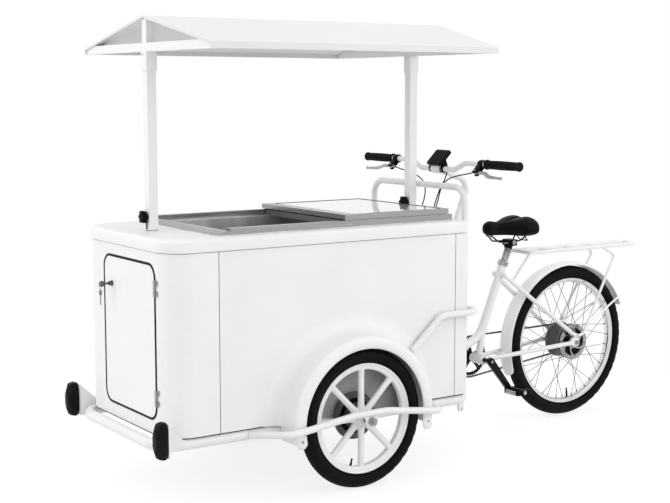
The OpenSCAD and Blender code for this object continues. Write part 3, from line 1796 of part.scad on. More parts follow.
chassis_frame();
wheel_guards();
side_rail();
front_axles();
front_fenders();
bumper_pads();
front_shell();
side_panels();
rear_panel();
floor_panel();
top_cap();
steel_frame();
steel_well();
insulation();
battery_pack();
cooling_unit();
push_bar();
handlebar_riser();
handlebar();
grips();
lever_mounts();
display();
control_cables();
post_sockets();
door_hinges();
steering_pin();
door_panel();
door_seal();
door_lock();
door_key();
lid_panel();
lid_frame();
lower_lid();
canopy_posts();
canopy_frame();
canopy_roof();
front_knob();
rear_knob();
front_tyre_left();
front_rim_left();
front_tyre_right();
front_rim_right();
rear_frame();
rear_mudguard();
rear_rack();
rear_axle();
drive_chain();
seat_post();
saddle();
rear_tyre();
rear_rim();
wire_spokes_set();
hub_motor();
rear_rotor();
sprocket();
crankset();
pedal_left();
pedal_right();
lever_left();
lever_right();
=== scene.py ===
# %% [markdown]
# # Ice cream tricycle
# The real object is an insulated serving box on two cast wheels, steered as one piece in front of a pedalled
# rear frame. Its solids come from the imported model, which is loaded here and never moved. Everything else in
# this file dresses those solids: finishes, rounded forms, rubber, wire, chain, welds and fasteners.

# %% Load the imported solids
import math

import bmesh
import bpy
from mathutils import Matrix, Vector


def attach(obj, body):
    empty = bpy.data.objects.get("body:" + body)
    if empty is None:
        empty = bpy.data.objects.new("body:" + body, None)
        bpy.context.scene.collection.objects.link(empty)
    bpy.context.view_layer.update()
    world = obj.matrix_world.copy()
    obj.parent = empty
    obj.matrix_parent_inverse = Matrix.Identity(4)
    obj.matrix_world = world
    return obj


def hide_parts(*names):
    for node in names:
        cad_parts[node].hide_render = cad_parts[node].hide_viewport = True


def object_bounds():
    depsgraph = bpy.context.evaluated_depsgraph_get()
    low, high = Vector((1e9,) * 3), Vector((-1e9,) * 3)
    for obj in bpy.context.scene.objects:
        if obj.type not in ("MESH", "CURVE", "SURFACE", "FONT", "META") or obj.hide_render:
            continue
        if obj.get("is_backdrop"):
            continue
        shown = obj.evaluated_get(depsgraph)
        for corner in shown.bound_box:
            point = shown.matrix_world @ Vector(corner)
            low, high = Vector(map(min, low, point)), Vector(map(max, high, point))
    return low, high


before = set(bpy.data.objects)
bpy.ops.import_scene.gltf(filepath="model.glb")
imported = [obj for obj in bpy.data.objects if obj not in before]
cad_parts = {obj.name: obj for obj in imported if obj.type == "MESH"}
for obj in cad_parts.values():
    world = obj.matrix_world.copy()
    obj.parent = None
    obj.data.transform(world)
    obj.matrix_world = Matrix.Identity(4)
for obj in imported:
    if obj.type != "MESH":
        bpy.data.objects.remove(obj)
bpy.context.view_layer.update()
scene = bpy.context.scene

# %% [markdown]
# ## Camera
# The photograph is taken from the rider's left, ahead of the front wheels, from about 1.4 m high with a long
# lens. The camera could be placed by eye, but the box edges and the wheels give its place by measurement,
# so the numbers below are used as they are. The long lens is what keeps the box so square.

# %% Camera at the photograph's place
CAMERA_AT, CAMERA_AIM = Vector((4.2700, -3.2116, 1.4400)), Vector((0.1555, -0.4353, 0.8375))
LENS_MM, SENSOR_MM = 71.34, 36.0


def add_object(name, data):
    """A new object with that data, in the scene."""
    thing = bpy.data.objects.new(name, data)
    scene.collection.objects.link(thing)
    return thing


def turned_to(place, target):
    """The rotation with which a camera or a lamp at a place faces a target."""
    return (Vector(target) - Vector(place)).to_track_quat("-Z", "Y").to_euler()


photo_camera = add_object("photo_camera", bpy.data.cameras.new("photo_camera"))
photo_camera.data.sensor_fit = "HORIZONTAL"
photo_camera.data.sensor_width = SENSOR_MM
photo_camera.data.lens = LENS_MM
photo_camera.location = CAMERA_AT
photo_camera.rotation_euler = turned_to(CAMERA_AT, CAMERA_AIM)
scene.camera = photo_camera
print("camera distance:", round((CAMERA_AIM - CAMERA_AT).length, 2))

# %% [markdown]
# ## Node tools
# The sky, the floor and every finish are trees of shader nodes. They could be wired by hand in the editor, but
# code can be read, changed and run again. A few short helpers do the wiring: they set or link an input, add a
# node with its inputs, and tell the rays that look straight at a surface from those that only light it.

# %% Adding and joining nodes
WHITE = (1.0, 1.0, 1.0, 1.0)


def rgba(tone):
    """A grey of one value, or a colour of three, with full alpha."""
    return (tone, tone, tone, 1.0) if isinstance(tone, float) else (*tone, 1.0)


def join(tree, value, socket):
    """Links a socket to an input, or sets the input to a plain value."""
    if isinstance(value, bpy.types.NodeSocket):
        tree.links.new(value, socket)
    else:
        socket.default_value = value


def put(tree, kind, *feeds, operation=None, **inputs):
    """Adds a node; feeds go to its inputs in order, the others by name, with _ for a space."""
    node = tree.nodes.new("ShaderNode" + kind)
    if operation:
        node.operation = operation
    for socket, feed in zip(node.inputs, feeds):
        join(tree, feed, socket)
    for label, value in inputs.items():
        join(tree, value, node.inputs[label.replace("_", " ")])
    return node


def seen_rays(tree):
    """A socket that is 1 where the camera, a mirror or glass looks straight at a surface."""
    rays = put(tree, "LightPath").outputs
    first = put(tree, "Math", rays["Is Camera Ray"], rays["Is Glossy Ray"], operation="MAXIMUM")
    return put(tree, "Math", first.outputs[0], rays["Is Transmission Ray"], operation="MAXIMUM").outputs[0]


print("node helpers ready")

# %% [markdown]
# ## Light and floor
# A white object on a white ground needs even light with one softer side, or its edges vanish. The world gives
# the even part. It is pure white where the camera or a mirror looks straight at it, and as a lamp it falls
# off a little overhead, and the floor gives back less, so that tubes keep a grey underside. Wide lamps at the
# front, above and at the left give the faces their different greys.

# %% World
SKY_LOW, SKY_HIGH = 1.05, 1.02
scene.view_settings.view_transform = "Standard"
studio = bpy.data.worlds.new("studio")
scene.world = studio
studio.use_nodes = True
sky = studio.node_tree
sky.nodes.clear()
way = put(sky, "SeparateXYZ", put(sky, "TexCoord").outputs["Generated"])
level = put(sky, "MapRange", way.outputs["Z"], From_Min=-0.1, From_Max=0.9, To_Min=SKY_LOW, To_Max=SKY_HIGH)
ambient = put(sky, "Background", Color=WHITE, Strength=level.outputs["Result"])
backdrop = put(sky, "Background", Color=WHITE, Strength=1.0)
choice = put(sky, "MixShader", seen_rays(sky), ambient.outputs[0], backdrop.outputs[0])
put(sky, "OutputWorld", choice.outputs[0])
print("sky strength:", SKY_LOW, "low and", SKY_HIGH, "overhead")

# %% Lamps
def softbox(name, place, target, size, watts):
    """A square lamp that faces a point."""
    lamp = add_object(name, bpy.data.lights.new(name, "AREA"))
    lamp.data.size = size
    lamp.data.energy = watts
    lamp.location = place
    lamp.rotation_euler = turned_to(place, target)
    return lamp.name


print("lamps:", softbox("front_softbox", (-1.6, -5.6, 3.4), (0.0, -0.4, 0.7), 3.4, 72.0),
      softbox("top_softbox", (1.2, 0.2, 4.6), (0.0, 0.0, 0.6), 4.0, 14.0),
      softbox("side_softbox", (5.0, 3.2, 3.0), (0.0, 0.5, 0.5), 3.0, 70.0))

# %% Floor that keeps the shadow
FLOOR_HALF, FADE_FROM, FADE_TO = 40, 1.0, 2.3
floor_mesh = bpy.data.meshes.new("studio_floor")
floor_corners = [(x * FLOOR_HALF, y * FLOOR_HALF, 0) for x, y in ((-1, -1), (1, -1), (1, 1), (-1, 1))]
floor_mesh.from_pydata(floor_corners, [], [(0, 1, 2, 3)])
studio_floor = add_object("studio_floor", floor_mesh)
floor_paint = bpy.data.materials.new("floor_paint")
floor_paint.use_nodes = True
tree = floor_paint.node_tree
shadowed = tree.nodes["Principled BSDF"]
for label, value in (("Base Color", rgba(0.24)), ("Roughness", 0.9), ("Specular IOR Level", 0.0),
                     ("Emission Color", WHITE), ("Emission Strength", 0.79)):
    shadowed.inputs[label].default_value = value
away = put(tree, "VectorMath", put(tree, "TexCoord").outputs["Object"], operation="LENGTH")
fade = put(tree, "MapRange", away.outputs["Value"], From_Min=FADE_FROM, From_Max=FADE_TO)
fade.interpolation_type = "SMOOTHSTEP"
plain_white = put(tree, "Emission", Color=WHITE)
shown = put(tree, "MixShader", fade.outputs["Result"], shadowed.outputs[0], plain_white.outputs[0])
dim_floor = put(tree, "BsdfDiffuse", Color=rgba(0.74))
choice = put(tree, "MixShader", seen_rays(tree), dim_floor.outputs[0], shown.outputs[0])
tree.links.new(choice.outputs[0], tree.nodes["Material Output"].inputs["Surface"])
floor_mesh.materials.append(floor_paint)
studio_floor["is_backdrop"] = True
print("floor at z =", studio_floor.location.z)

# %% [markdown]
# ## Shared effects
# Paint, rubber and steel are never one flat value: paint has a faint orange peel and soft patches, steel is
# brushed along its length, rubber and cast metal have grain, and dust settles on what faces up. Each effect
# is built once as a node group and used in many finishes with other numbers. All pieces keep their object at
# the origin, so Object coordinates are the same metres everywhere and the patterns have a true scale.

# %% Node group tools
def effect(name, outputs, **inputs):
    """A node group with number sockets; returns it, its input values by name and its outputs to be fed."""
    group = bpy.data.node_groups.new(name, "ShaderNodeTree")
    for label, value in inputs.items():
        group.interface.new_socket(label, in_out="INPUT", socket_type="NodeSocketFloat").default_value = value
    for label in outputs:
        group.interface.new_socket(label, in_out="OUTPUT", socket_type="NodeSocketFloat")
    return group, group.nodes.new("NodeGroupInput").outputs, group.nodes.new("NodeGroupOutput").inputs


def spread(group, source, low, high, to_low=0.0, to_high=1.0):
    """Maps a value from one range to another; to_low and to_high may be sockets."""
    node = put(group, "MapRange", source, From_Min=low, From_Max=high, To_Min=to_low, To_Max=to_high)
    return node.outputs["Result"]


def metres(group):
    """The place on the object, in metres."""
    return put(group, "TexCoord").outputs["Object"]


print("effect helpers ready")

# %% Patches, grain and brushing
patches, given, ends = effect("soft_patches", ["Mask", "Value"], Scale=6.0, Low=0.3, High=0.4)
cloud = put(patches, "TexNoise", Vector=metres(patches), Scale=given["Scale"], Detail=5.0, Roughness=0.6)
patch_mask = spread(patches, cloud.outputs[0], 0.32, 0.68)
patches.links.new(patch_mask, ends["Mask"])
patches.links.new(spread(patches, patch_mask, 0.0, 1.0, given["Low"], given["High"]), ends["Value"])

grain, given, ends = effect("fine_grain", ["Height"], Scale=900.0)
speck = put(grain, "TexNoise", Vector=metres(grain), Scale=given["Scale"], Detail=2.0)
grain.links.new(speck.outputs[0], ends["Height"])

brushing, given, ends = effect("brushed_lines", ["Mask", "Height"], X=900.0, Y=9.0, Z=900.0)
counts = put(brushing, "CombineXYZ", given["X"], given["Y"], given["Z"])
stretch = put(brushing, "VectorMath", metres(brushing), counts.outputs[0], operation="MULTIPLY")
stroke = put(brushing, "TexNoise", Vector=stretch.outputs[0], Scale=1.0, Detail=3.0)
brushing.links.new(spread(brushing, stroke.outputs[0], 0.3, 0.7), ends["Mask"])
brushing.links.new(stroke.outputs[0], ends["Height"])
print("effects:", [g.name for g in bpy.data.node_groups])

# %% Dust and hide
dust, given, ends = effect("settled_dust", ["Mask"], Amount=0.2, Scale=40.0)
facing = put(dust, "SeparateXYZ", put(dust, "NewGeometry").outputs["Normal"])
drift = put(dust, "TexNoise", Vector=metres(dust), Scale=given["Scale"], Detail=6.0)
upward = spread(dust, facing.outputs["Z"], 0.25, 1.0, 0.0, given["Amount"])
drifted = put(dust, "Math", upward, spread(dust, drift.outputs[0], 0.35, 0.7), operation="MULTIPLY")
dust.links.new(drifted.outputs[0], ends["Mask"])

hide, given, ends = effect("leather_grain", ["Height", "Crease"], Scale=420.0)
cells = put(hide, "TexVoronoi", Vector=metres(hide), Scale=given["Scale"])
cells.feature = "DISTANCE_TO_EDGE"
pebble = spread(hide, cells.outputs["Distance"], 0.0, 0.22)
for label in ("Height", "Crease"):
    hide.links.new(pebble, ends[label])
print("effects:", len(bpy.data.node_groups))

# %% [markdown]
# ## Finishes
# One maker builds every finish from the same parts: a deep and a pale tone mixed by patches or brushing, a
# roughness that varies between two limits, a bump from grain, and dust where it would lie. The numbers are
# what tell gloss paint from satin plastic. Tones are kept close together, because this is a new machine.

# %% Finish maker
def placed(material, group, **values):
    """Places an effect in a material, sets its inputs and returns its outputs."""
    node = put(material.node_tree, "Group")
    node.node_tree = group
    for label, value in values.items():
        node.inputs[label].default_value = value
    return node.outputs


def blend(material, mask, deep, pale):
    """Mixes two colours by a mask; deep may be a socket."""
    mix = put(material.node_tree, "Mix")
    mix.data_type = "RGBA"
    for socket, value in zip((mix.inputs[0], mix.inputs[6], mix.inputs[7]), (mask, deep, pale)):
        join(material.node_tree, value, socket)
    return mix.outputs[2]


def finish(name, deep, pale, rough, patch=6.0, metal=0.0, coat=0.0, texture="grain", scale=900.0, bump=0.04,
           depth=0.0004, dusty=0.0, dust_tone=0.62, lines=None, shine=0.5):
    """A procedural material; deep and pale are greys or colours, rough is its least and greatest roughness."""
    material = bpy.data.materials.new(name)
    material.use_nodes = True
    tree = material.node_tree
    shader = tree.nodes["Principled BSDF"]
    for label, value in (("Metallic", metal), ("Coat Weight", coat), ("Coat Roughness", 0.06),
                         ("Specular IOR Level", shine)):
        shader.inputs[label].default_value = value
    cloudy = placed(material, patches, Scale=patch, Low=rough[0], High=rough[1])
    mask = cloudy["Mask"]
    if lines:
        strokes = placed(material, brushing, X=lines[0], Y=lines[1], Z=lines[2])
        mask, height = strokes["Mask"], strokes["Height"]
    elif texture == "hide":
        leather = placed(material, hide, Scale=scale)
        mask, height = leather["Crease"], leather["Height"]
    else:
        height = placed(material, grain, Scale=scale)["Height"]
    colour = blend(material, mask, rgba(deep), rgba(pale))
    if dusty:
        film = placed(material, dust, Amount=dusty, Scale=30.0)
        colour = blend(material, film["Mask"], colour, rgba(dust_tone))
    relief = put(tree, "Bump", Strength=bump, Distance=depth, Height=height)
    for label, source in (("Base Color", colour), ("Roughness", cloudy["Value"]),
                          ("Normal", relief.outputs["Normal"])):
        tree.links.new(source, shader.inputs[label])
    return material


print("finish maker ready with", len(bpy.data.node_groups), "effects")

# %% Paints and plastics
tube_paint = finish("tube_paint", 0.76, 0.80, (0.26, 0.36), scale=420.0, bump=0.05, shine=0.3)
# Painted light: the mudguard's white is paler than the tube paint, to lift it out of the box's shade.
guard_paint_painted_light = finish("guard_paint_painted_light", 0.84, 0.88, (0.24, 0.34), scale=420.0, bump=0.05, shine=0.3)
panel_paint = finish("panel_paint", 0.77, 0.81, (0.32, 0.42), patch=3.0, scale=380.0, bump=0.05, shine=0.3)
shell_paint = finish("shell_paint", 0.79, 0.83, (0.30, 0.40), patch=3.0, scale=380.0, bump=0.05, shine=0.3)
deck_paint = finish("deck_paint", 0.79, 0.83, (0.34, 0.46), patch=4.0, scale=520.0, bump=0.06, shine=0.3)
roof_paint = finish("roof_paint", 0.69, 0.72, (0.36, 0.48), patch=3.0, scale=500.0, bump=0.06)
lid_gloss = finish("lid_gloss", 0.70, 0.74, (0.05, 0.11), patch=5.0, coat=0.8, scale=160.0, bump=0.02)
# Painted shade: a mid grey for the plates that darken the side panel inside each wheel arch.
arch_shade_grey = finish("arch_shade_grey", 0.32, 0.40, (0.5, 0.65), patch=14.0, scale=700.0, bump=0.15, shine=0.2)
satin_black = finish("satin_black", 0.002, 0.005, (0.30, 0.42), patch=24.0, scale=1500.0, bump=0.12, shine=0.05)
screen_black = finish("screen_black", 0.001, 0.003, (0.08, 0.14), patch=20.0, scale=120.0, bump=0.01, shine=0.04)
print("paints made")

# %% Rubber and leather
tyre_rubber = finish("tyre_rubber", 0.002, 0.005, (0.50, 0.66), patch=30.0, scale=1300.0, bump=0.25, shine=0.08,
                     dusty=0.05, dust_tone=0.03)
buffer_rubber = finish("buffer_rubber", 0.002, 0.005, (0.44, 0.58), patch=18.0, bump=0.2, shine=0.11,
                       dusty=0.05, dust_tone=0.04)
grip_rubber = finish("grip_rubber", 0.004, 0.008, (0.48, 0.62), patch=40.0, scale=1600.0, bump=0.2, shine=0.09)
# Dark grey for the seam strips, which also paint the shadow under the deck's overhang and the shade at the panels'
# foot.
seam_and_shade_grey = finish("seam_and_shade_grey", 0.030, 0.050, (0.50, 0.65), patch=30.0, scale=1200.0, bump=0.08, shine=0.1)
gasket_rubber = finish("gasket_rubber", 0.003, 0.007, (0.45, 0.60), patch=30.0, scale=1200.0, bump=0.12, shine=0.1)
seat_vinyl = finish("seat_vinyl", 0.001, 0.004, (0.34, 0.44), patch=26.0, texture="hide", scale=520.0, bump=0.2,
                    depth=0.0003, shine=0.07)
cable_jacket = finish("cable_jacket", 0.005, 0.010, (0.35, 0.48), patch=50.0, scale=1800.0, bump=0.06, shine=0.12)
print("rubbers made")

# %% Metals
rail_steel = finish("rail_steel", 0.30, 0.38, (0.24, 0.34), 4.0, 1.0, lines=(900.0, 3.0, 900.0), bump=0.012)
cross_steel = finish("cross_steel", 0.31, 0.39, (0.22, 0.32), 4.0, 1.0, lines=(3.0, 900.0, 900.0), bump=0.012)
# Besides its brushing, the well's steel gets broad pale and dark upright streaks: painted reflection of soft light
# in its walls.
well_steel_and_painted_sheen = finish("well_steel_and_painted_sheen", 0.42, 0.78, (0.30, 0.42), 3.0, 0.55, lines=(7.0, 7.0, 1.0), bump=0.004)
bright_chrome = finish("bright_chrome", 0.14, 0.46, (0.10, 0.18), 20.0, 1.0, lines=(160.0, 160.0, 5.0), bump=0.02)
zinc_plate = finish("zinc_plate", 0.30, 0.42, (0.26, 0.40), 60.0, 1.0, scale=1800.0, bump=0.06)
lock_nickel = finish("lock_nickel", 0.09, 0.17, (0.22, 0.36), 70.0, 1.0, scale=1800.0, bump=0.05)
hinge_plate = finish("hinge_plate", 0.40, 0.50, (0.26, 0.38), 50.0, 1.0, scale=1500.0, bump=0.05)
spoke_wire = finish("spoke_wire", 0.05, 0.10, (0.24, 0.36), 60.0, 0.9, scale=1800.0, bump=0.04)
lever_alloy = finish("lever_alloy", 0.34, 0.46, (0.18, 0.30), 40.0, 1.0, scale=1400.0, bump=0.05)
rim_alloy = finish("rim_alloy", 0.62, 0.74, (0.16, 0.28), 30.0, 1.0, scale=1500.0, bump=0.04)
cast_grey = finish("cast_grey", 0.10, 0.15, (0.40, 0.54), 34.0, 0.6, scale=1100.0, bump=0.18)
drum_grey = finish("drum_grey", 0.075, 0.115, (0.40, 0.55), 30.0, 0.4, scale=900.0, bump=0.16)
rotor_steel = finish("rotor_steel", 0.30, 0.44, (0.20, 0.34), 50.0, 1.0, scale=2200.0, bump=0.06)
chain_steel = finish("chain_steel", 0.10, 0.20, (0.30, 0.46), 80.0, 1.0, scale=1600.0, bump=0.08)
crank_black = finish("crank_black", 0.002, 0.005, (0.24, 0.36), 40.0, scale=1500.0, bump=0.06, shine=0.16)
print("metals made")

# %% Foam and reflectors
foam_yellow = finish("foam_yellow", (0.62, 0.55, 0.34), (0.72, 0.65, 0.42), (0.75, 0.9), patch=20.0, scale=500.0,
                     bump=0.4)
reflector_prism = finish("reflector_prism", 0.42, 0.60, (0.12, 0.22), patch=90.0, coat=0.6, texture="hide",
                         scale=300.0, bump=0.5)
print("finishes:", len(bpy.data.materials))

# %% [markdown]
# ## Tools for shaping
# The pieces are turned, swept, cut from plate or bent from bar, as they are in a workshop, so the helpers
# below are a lathe, a tube bender, a plate cutter and a bolt. They work in millimetres, in the place where the
# piece belongs, and the last helper turns the result into metres and fixes it to the body that carries it.

# %% Axes, circles and lathe
X, Y, Z = Vector((1, 0, 0)), Vector((0, 1, 0)), Vector((0, 0, 1))
BOTH = (1, -1)
SIDES = ((1, "left"), (-1, "right"))


def on_circle(r, degrees):
    """A flat point at an angle on a circle about the origin."""
    a = math.radians(degrees)
    return r * math.cos(a), r * math.sin(a)


def out_at(degrees):
    """The direction at an angle in the plane of the wheels, from straight back and upward."""
    return Vector((0, *on_circle(1, degrees)))


def square_to(axis):
    """Two directions square to an axis; for the wheels' axis they are Y and Z."""
    w = Vector(axis).normalized()
    u = Y - w * Y.dot(w) if abs(w.y) < 0.9 else Z - w * Z.dot(w)
    u.normalize()
    return u, w.cross(u), w


def lathe(bm, profile, centre, axis=X, steps=96, begin=0.0, turn=360.0, ripple=None):
    """Turns a closed profile of (radius, distance along the axis) round a centre."""
    u, v, w = square_to(axis)
    centre = Vector(centre)
    closed = turn >= 360.0
    count = steps if closed else steps + 1
    rings = []
    for i in range(count):
        a = math.radians(begin + turn * i / steps)
        out = u * math.cos(a) + v * math.sin(a)
        rings.append([bm.verts.new(centre + out * (r + (ripple(i, j) if ripple else 0.0)) + w * h)
                      for j, (r, h) in enumerate(profile)])
    for i in range(count if closed else count - 1):
        here, there = rings[i], rings[(i + 1) % count]
        for j in range(len(profile)):
            k = (j + 1) % len(profile)
            bm.faces.new((here[j], there[j], there[k], here[k]))
    if not closed:
        bm.faces.new(rings[0])
        bm.faces.new(rings[-1][::-1])


print("lathe ready")

# %% Tube bender
def skin(bm, rings, joined=False):
    """Joins rings of points with bands of faces; if joined, the last ring also meets the first."""
    for here, there in zip(rings, rings[1:] + (rings[:1] if joined else [])):
        for k in range(len(here)):
            m = (k + 1) % len(here)
            bm.faces.new((here[k], here[m], there[m], there[k]))


def smooth_line(points, each=6):
    """A curve through points, with more points between them."""
    points = [Vector(p) for p in points]
    line = []
    for i in range(len(points) - 1):
        p0, p1, p2, p3 = points[max(i - 1, 0)], points[i], points[i + 1], points[min(i + 2, len(points) - 1)]
        for k in range(each):
            t = k / each
            line.append(0.5 * (2 * p1 + (p2 - p0) * t + (2 * p0 - 5 * p1 + 4 * p2 - p3) * t ** 2
                               + (3 * p1 - p0 - 3 * p2 + p3) * t ** 3))
    return line + [points[-1]]


def sweep(bm, line, half, sides=12, closed=False, up=None):
    """Sweeps an oval along a line; half is a size, or gives the two half sizes at a share of the length."""
    line = [Vector(p) for p in line]
    count = len(line)
    heads = [(line[(i + 1) % count if closed else min(i + 1, count - 1)]
              - line[(i - 1) % count if closed else max(i - 1, 0)]).normalized() for i in range(count)]
    across = Vector(up) if up is not None else square_to(heads[0])[0]
    rings = []
    for i, (at, head) in enumerate(zip(line, heads)):
        across = (across - head * across.dot(head)).normalized()
        other = head.cross(across)
        a, b = half(i / (count - 1)) if callable(half) else (half, half)
        rings.append([bm.verts.new(at + across * a * math.cos(2 * math.pi * k / sides)
                                   + other * b * math.sin(2 * math.pi * k / sides)) for k in range(sides)])
    skin(bm, rings, joined=closed)
    if not closed:
        bm.faces.new(rings[0][::-1])
        bm.faces.new(rings[-1])


print("tube bender ready")

# %% Plate cutter
def plate(bm, outline, origin, u, v, thick):
    """A flat plate with that outline, thick along u x v."""
    u, v, origin = Vector(u), Vector(v), Vector(origin)
    depth = u.cross(v).normalized() * thick
    low = [bm.verts.new(origin + u * a + v * b) for a, b in outline]
    high = [bm.verts.new(p.co + depth) for p in low]
    bm.faces.new(low[::-1])
    bm.faces.new(high)
    skin(bm, [low, high])


def disc_line(radius, steps=32, centre=(0.0, 0.0), begin=0.0, turn=360.0):
    """Points of a circle or of an arc of it."""
    count = steps if turn >= 360.0 else steps + 1
    points = [on_circle(radius, begin + turn * i / steps) for i in range(count)]
    return [(centre[0] + x, centre[1] + y) for x, y in points]


def rounded(w, h, r, steps=8):
    """A rounded rectangle about the origin."""
    corners = ((w / 2 - r, h / 2 - r, 0), (-w / 2 + r, h / 2 - r, 90), (-w / 2 + r, -h / 2 + r, 180),
               (w / 2 - r, -h / 2 + r, 270))
    return [p for cx, cy, a in corners for p in disc_line(r, steps, (cx, cy), a, 90.0)]


def pierced(bm, loops, origin, u, v, thick):
    """Cuts a plate from loops of points, the first its outline and the others holes, thick about its plane."""
    curve = bpy.data.curves.new("cutter", "CURVE")
    curve.dimensions = "2D"
    curve.fill_mode = "BOTH"
    curve.extrude = thick / 2
    for loop in loops:
        spline = curve.splines.new("POLY")
        spline.points.add(len(loop) - 1)
        for point, (a, b) in zip(spline.points, loop):
            point.co = (a, b, 0, 1)
        spline.use_cyclic_u = True
    cutter = add_object("cutter", curve)
    mesh = bpy.data.meshes.new_from_object(cutter.evaluated_get(bpy.context.evaluated_depsgraph_get()))
    u, v, w = Vector(u), Vector(v), Vector(u).cross(Vector(v))
    mesh.transform(Matrix([(u[i], v[i], w[i], origin[i]) for i in range(3)] + [(0, 0, 0, 1)]))
    bm.from_mesh(mesh)
    bpy.data.objects.remove(cutter)
    bpy.data.curves.remove(curve)
    bpy.data.meshes.remove(mesh)


print("plate cutter ready")

# %% Bolts and welds
def hex_bolt(bm, at, axis, flats=10.0, head=6.0, washer=True):
    """A hexagon head with a chamfered top, on its washer."""
    at, axis = Vector(at), Vector(axis).normalized()
    r = flats / math.sqrt(3)
    rise = 0.0
    if washer:
        rise = 1.4
        wide = flats * 0.92
        lathe(bm, [(0, -0.4), (wide, -0.4), (wide, 1.0), (flats * 0.86, rise), (0, rise)], at, axis, 24)
    lathe(bm, [(0, rise - 0.2), (r, rise - 0.2), (r, rise + head * 0.82), (r * 0.86, rise + head), (0, rise + head)],
          at, axis, 6)


def dome_bolt(bm, at, axis, wide=9.0, high=4.0):
    """A round head with a socket in the middle."""
    r = wide / 2
    lathe(bm, [(0, -0.5), (r, -0.5), (r, high * 0.25), (r * 0.86, high * 0.7), (r * 0.62, high), (r * 0.42, high),
               (r * 0.42, high * 0.4), (0, high * 0.4)], at, axis, 24)


def weld(bm, at, axis, ring, bead):
    """A rippled bead of weld round a tube's foot."""
    u, v, _ = square_to(axis)
    line = [Vector(at) + u * a + v * b for a, b in disc_line(ring, 72)]
    sweep(bm, line, lambda t: (bead * (1 + 0.14 * math.cos(36 * 2 * math.pi * t)),) * 2, 8, closed=True)


print("bolts and welds ready")

# %% Fixing a piece to its body
MM = 0.001
made = []


def piece(name, bm, body, material, instead_of=(), bevel=0.0, angle=34.0):
    """Turns millimetres into a finished object in metres that rides on a body."""
    bmesh.ops.remove_doubles(bm, verts=bm.verts, dist=0.0005)
    bmesh.ops.dissolve_degenerate(bm, edges=bm.edges, dist=0.0002)
    bmesh.ops.recalc_face_normals(bm, faces=bm.faces)
    mesh = bpy.data.meshes.new(name)
    bm.to_mesh(mesh)
    bm.free()
    mesh.transform(Matrix.Scale(MM, 4))
    mesh.materials.append(material)
    mesh.shade_smooth()
    mesh.set_sharp_from_angle(angle=math.radians(angle))
    thing = add_object(name, mesh)
    if bevel:
        rounding = thing.modifiers.new("rounding", "BEVEL")
        rounding.width = bevel * MM
        rounding.segments = 3
        rounding.limit_method = "ANGLE"
        rounding.angle_limit = math.radians(40)
        rounding.harden_normals = True
    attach(thing, body)
    if instead_of:
        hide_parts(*instead_of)
    made.append(name)
    return thing


def bolt_set(name, body, bolts):
    """One piece of round bolts, each given by its place, axis, width and height."""
    bm = bmesh.new()
    for at, axis, wide, high in bolts:
        dome_bolt(bm, at, axis, wide, high)
    return piece(name, bm, body, zinc_plate)


print("tools ready; one unit is", MM, "m")

# %% [markdown]
# ## Control cables
# Two jacketed brake cables leave the lever mounts, bend towards the middle under their own stiffness and enter
# the back of the box, and the display has a third one. Such a cable is best made as a curve with a round
# section, because the curve keeps its true length. The routes are those of the solids that they stand for.

# %% Brake and display cables
brake_route = [(264, 148.5, 1121), (228, 150.5, 1114), (150, 152.5, 1100), (100, 154.5, 1086), (64, 154.5, 1064),
               (48, 150.5, 1028), (46, 140.5, 988), (46, 122.5, 948), (46, 100.5, 910), (46, 78.5, 882),
               (46, 64.5, 872), (46, 55, 870)]
display_route = [(24, 187.3, 1162.2), (24, 202.5, 1147), (24, 207.5, 1118), (26, 194.5, 1082), (28, 166.5, 1040),
                 (30, 144.5, 994), (30, 128.5, 952), (30, 104.5, 912), (30, 80.5, 884), (30, 64.5, 872),
                 (30, 55, 870)]


def sided(point, side):
    """A point of the left side, or its mirror on the right if side is -1."""
    return Vector((side * point[0], point[1], point[2]))


def cable(name, route, instead_of=()):
    """A cable of 5 mm on a route; returns its length in metres."""
    line = [p * MM for p in smooth_line(route, 3)]
    curve = bpy.data.curves.new(name, "CURVE")
    curve.dimensions = "3D"
    curve.bevel_depth = 0.0025
    curve.bevel_resolution = 4
    curve.use_fill_caps = True
    spline = curve.splines.new("POLY")
    spline.points.add(len(line) - 1)
    for point, at in zip(spline.points, line):
        point.co = (*at, 1.0)
    spline.use_smooth = True
    curve.materials.append(cable_jacket)
    thing = add_object(name, curve)
    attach(thing, "cargo_box")
    if instead_of:
        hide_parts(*instead_of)
    length = sum((b - a).length for a, b in zip(line, line[1:]))
    return round(length, 3)


mirrored = [sided(p, -1) for p in brake_route]
print("cable lengths:", cable("brake_cable_left", brake_route, ["control_cables"]),
      cable("brake_cable_right", mirrored), cable("display_cable", display_route))

# %% [markdown]
# ## Deck
# The deck is one thick moulding with a soft round edge that runs right round the box and an opening for the
# cold well. A box with a bevel would do from afar, but the corners have two different radii, so the outline is
# drawn once and set inward step by step along a quarter circle. The top is then filled round the opening.

# %% Deck moulding
BOX_FRONT, BOX_BACK, SIDE = -1230.5, 54.5, 345.0
PANEL_TOP, DECK, DECK_ROUND = 898.0, 944.0, 14
WELL_HALF, WELL_FRONT, WELL_BACK = 242.3, -947.8, -21.2


def deck_outline(inset, steps=16):
    """The deck in plan, drawn in from its edge, with wide corners at the front."""
    w, y0, y1 = SIDE + 6 - inset, BOX_FRONT - 6 + inset, BOX_BACK + 6 - inset
    rf, rr = 106 - inset, max(24 - inset, 1.0)
    corners = ((w - rf, y0 + rf, rf, -90), (w - rr, y1 - rr, rr, 0), (-w + rr, y1 - rr, rr, 90),
               (-w + rf, y0 + rf, rf, 180))
    return [p for cx, cy, r, a in corners for p in disc_line(r, steps, (cx, cy), a, 90.0)]


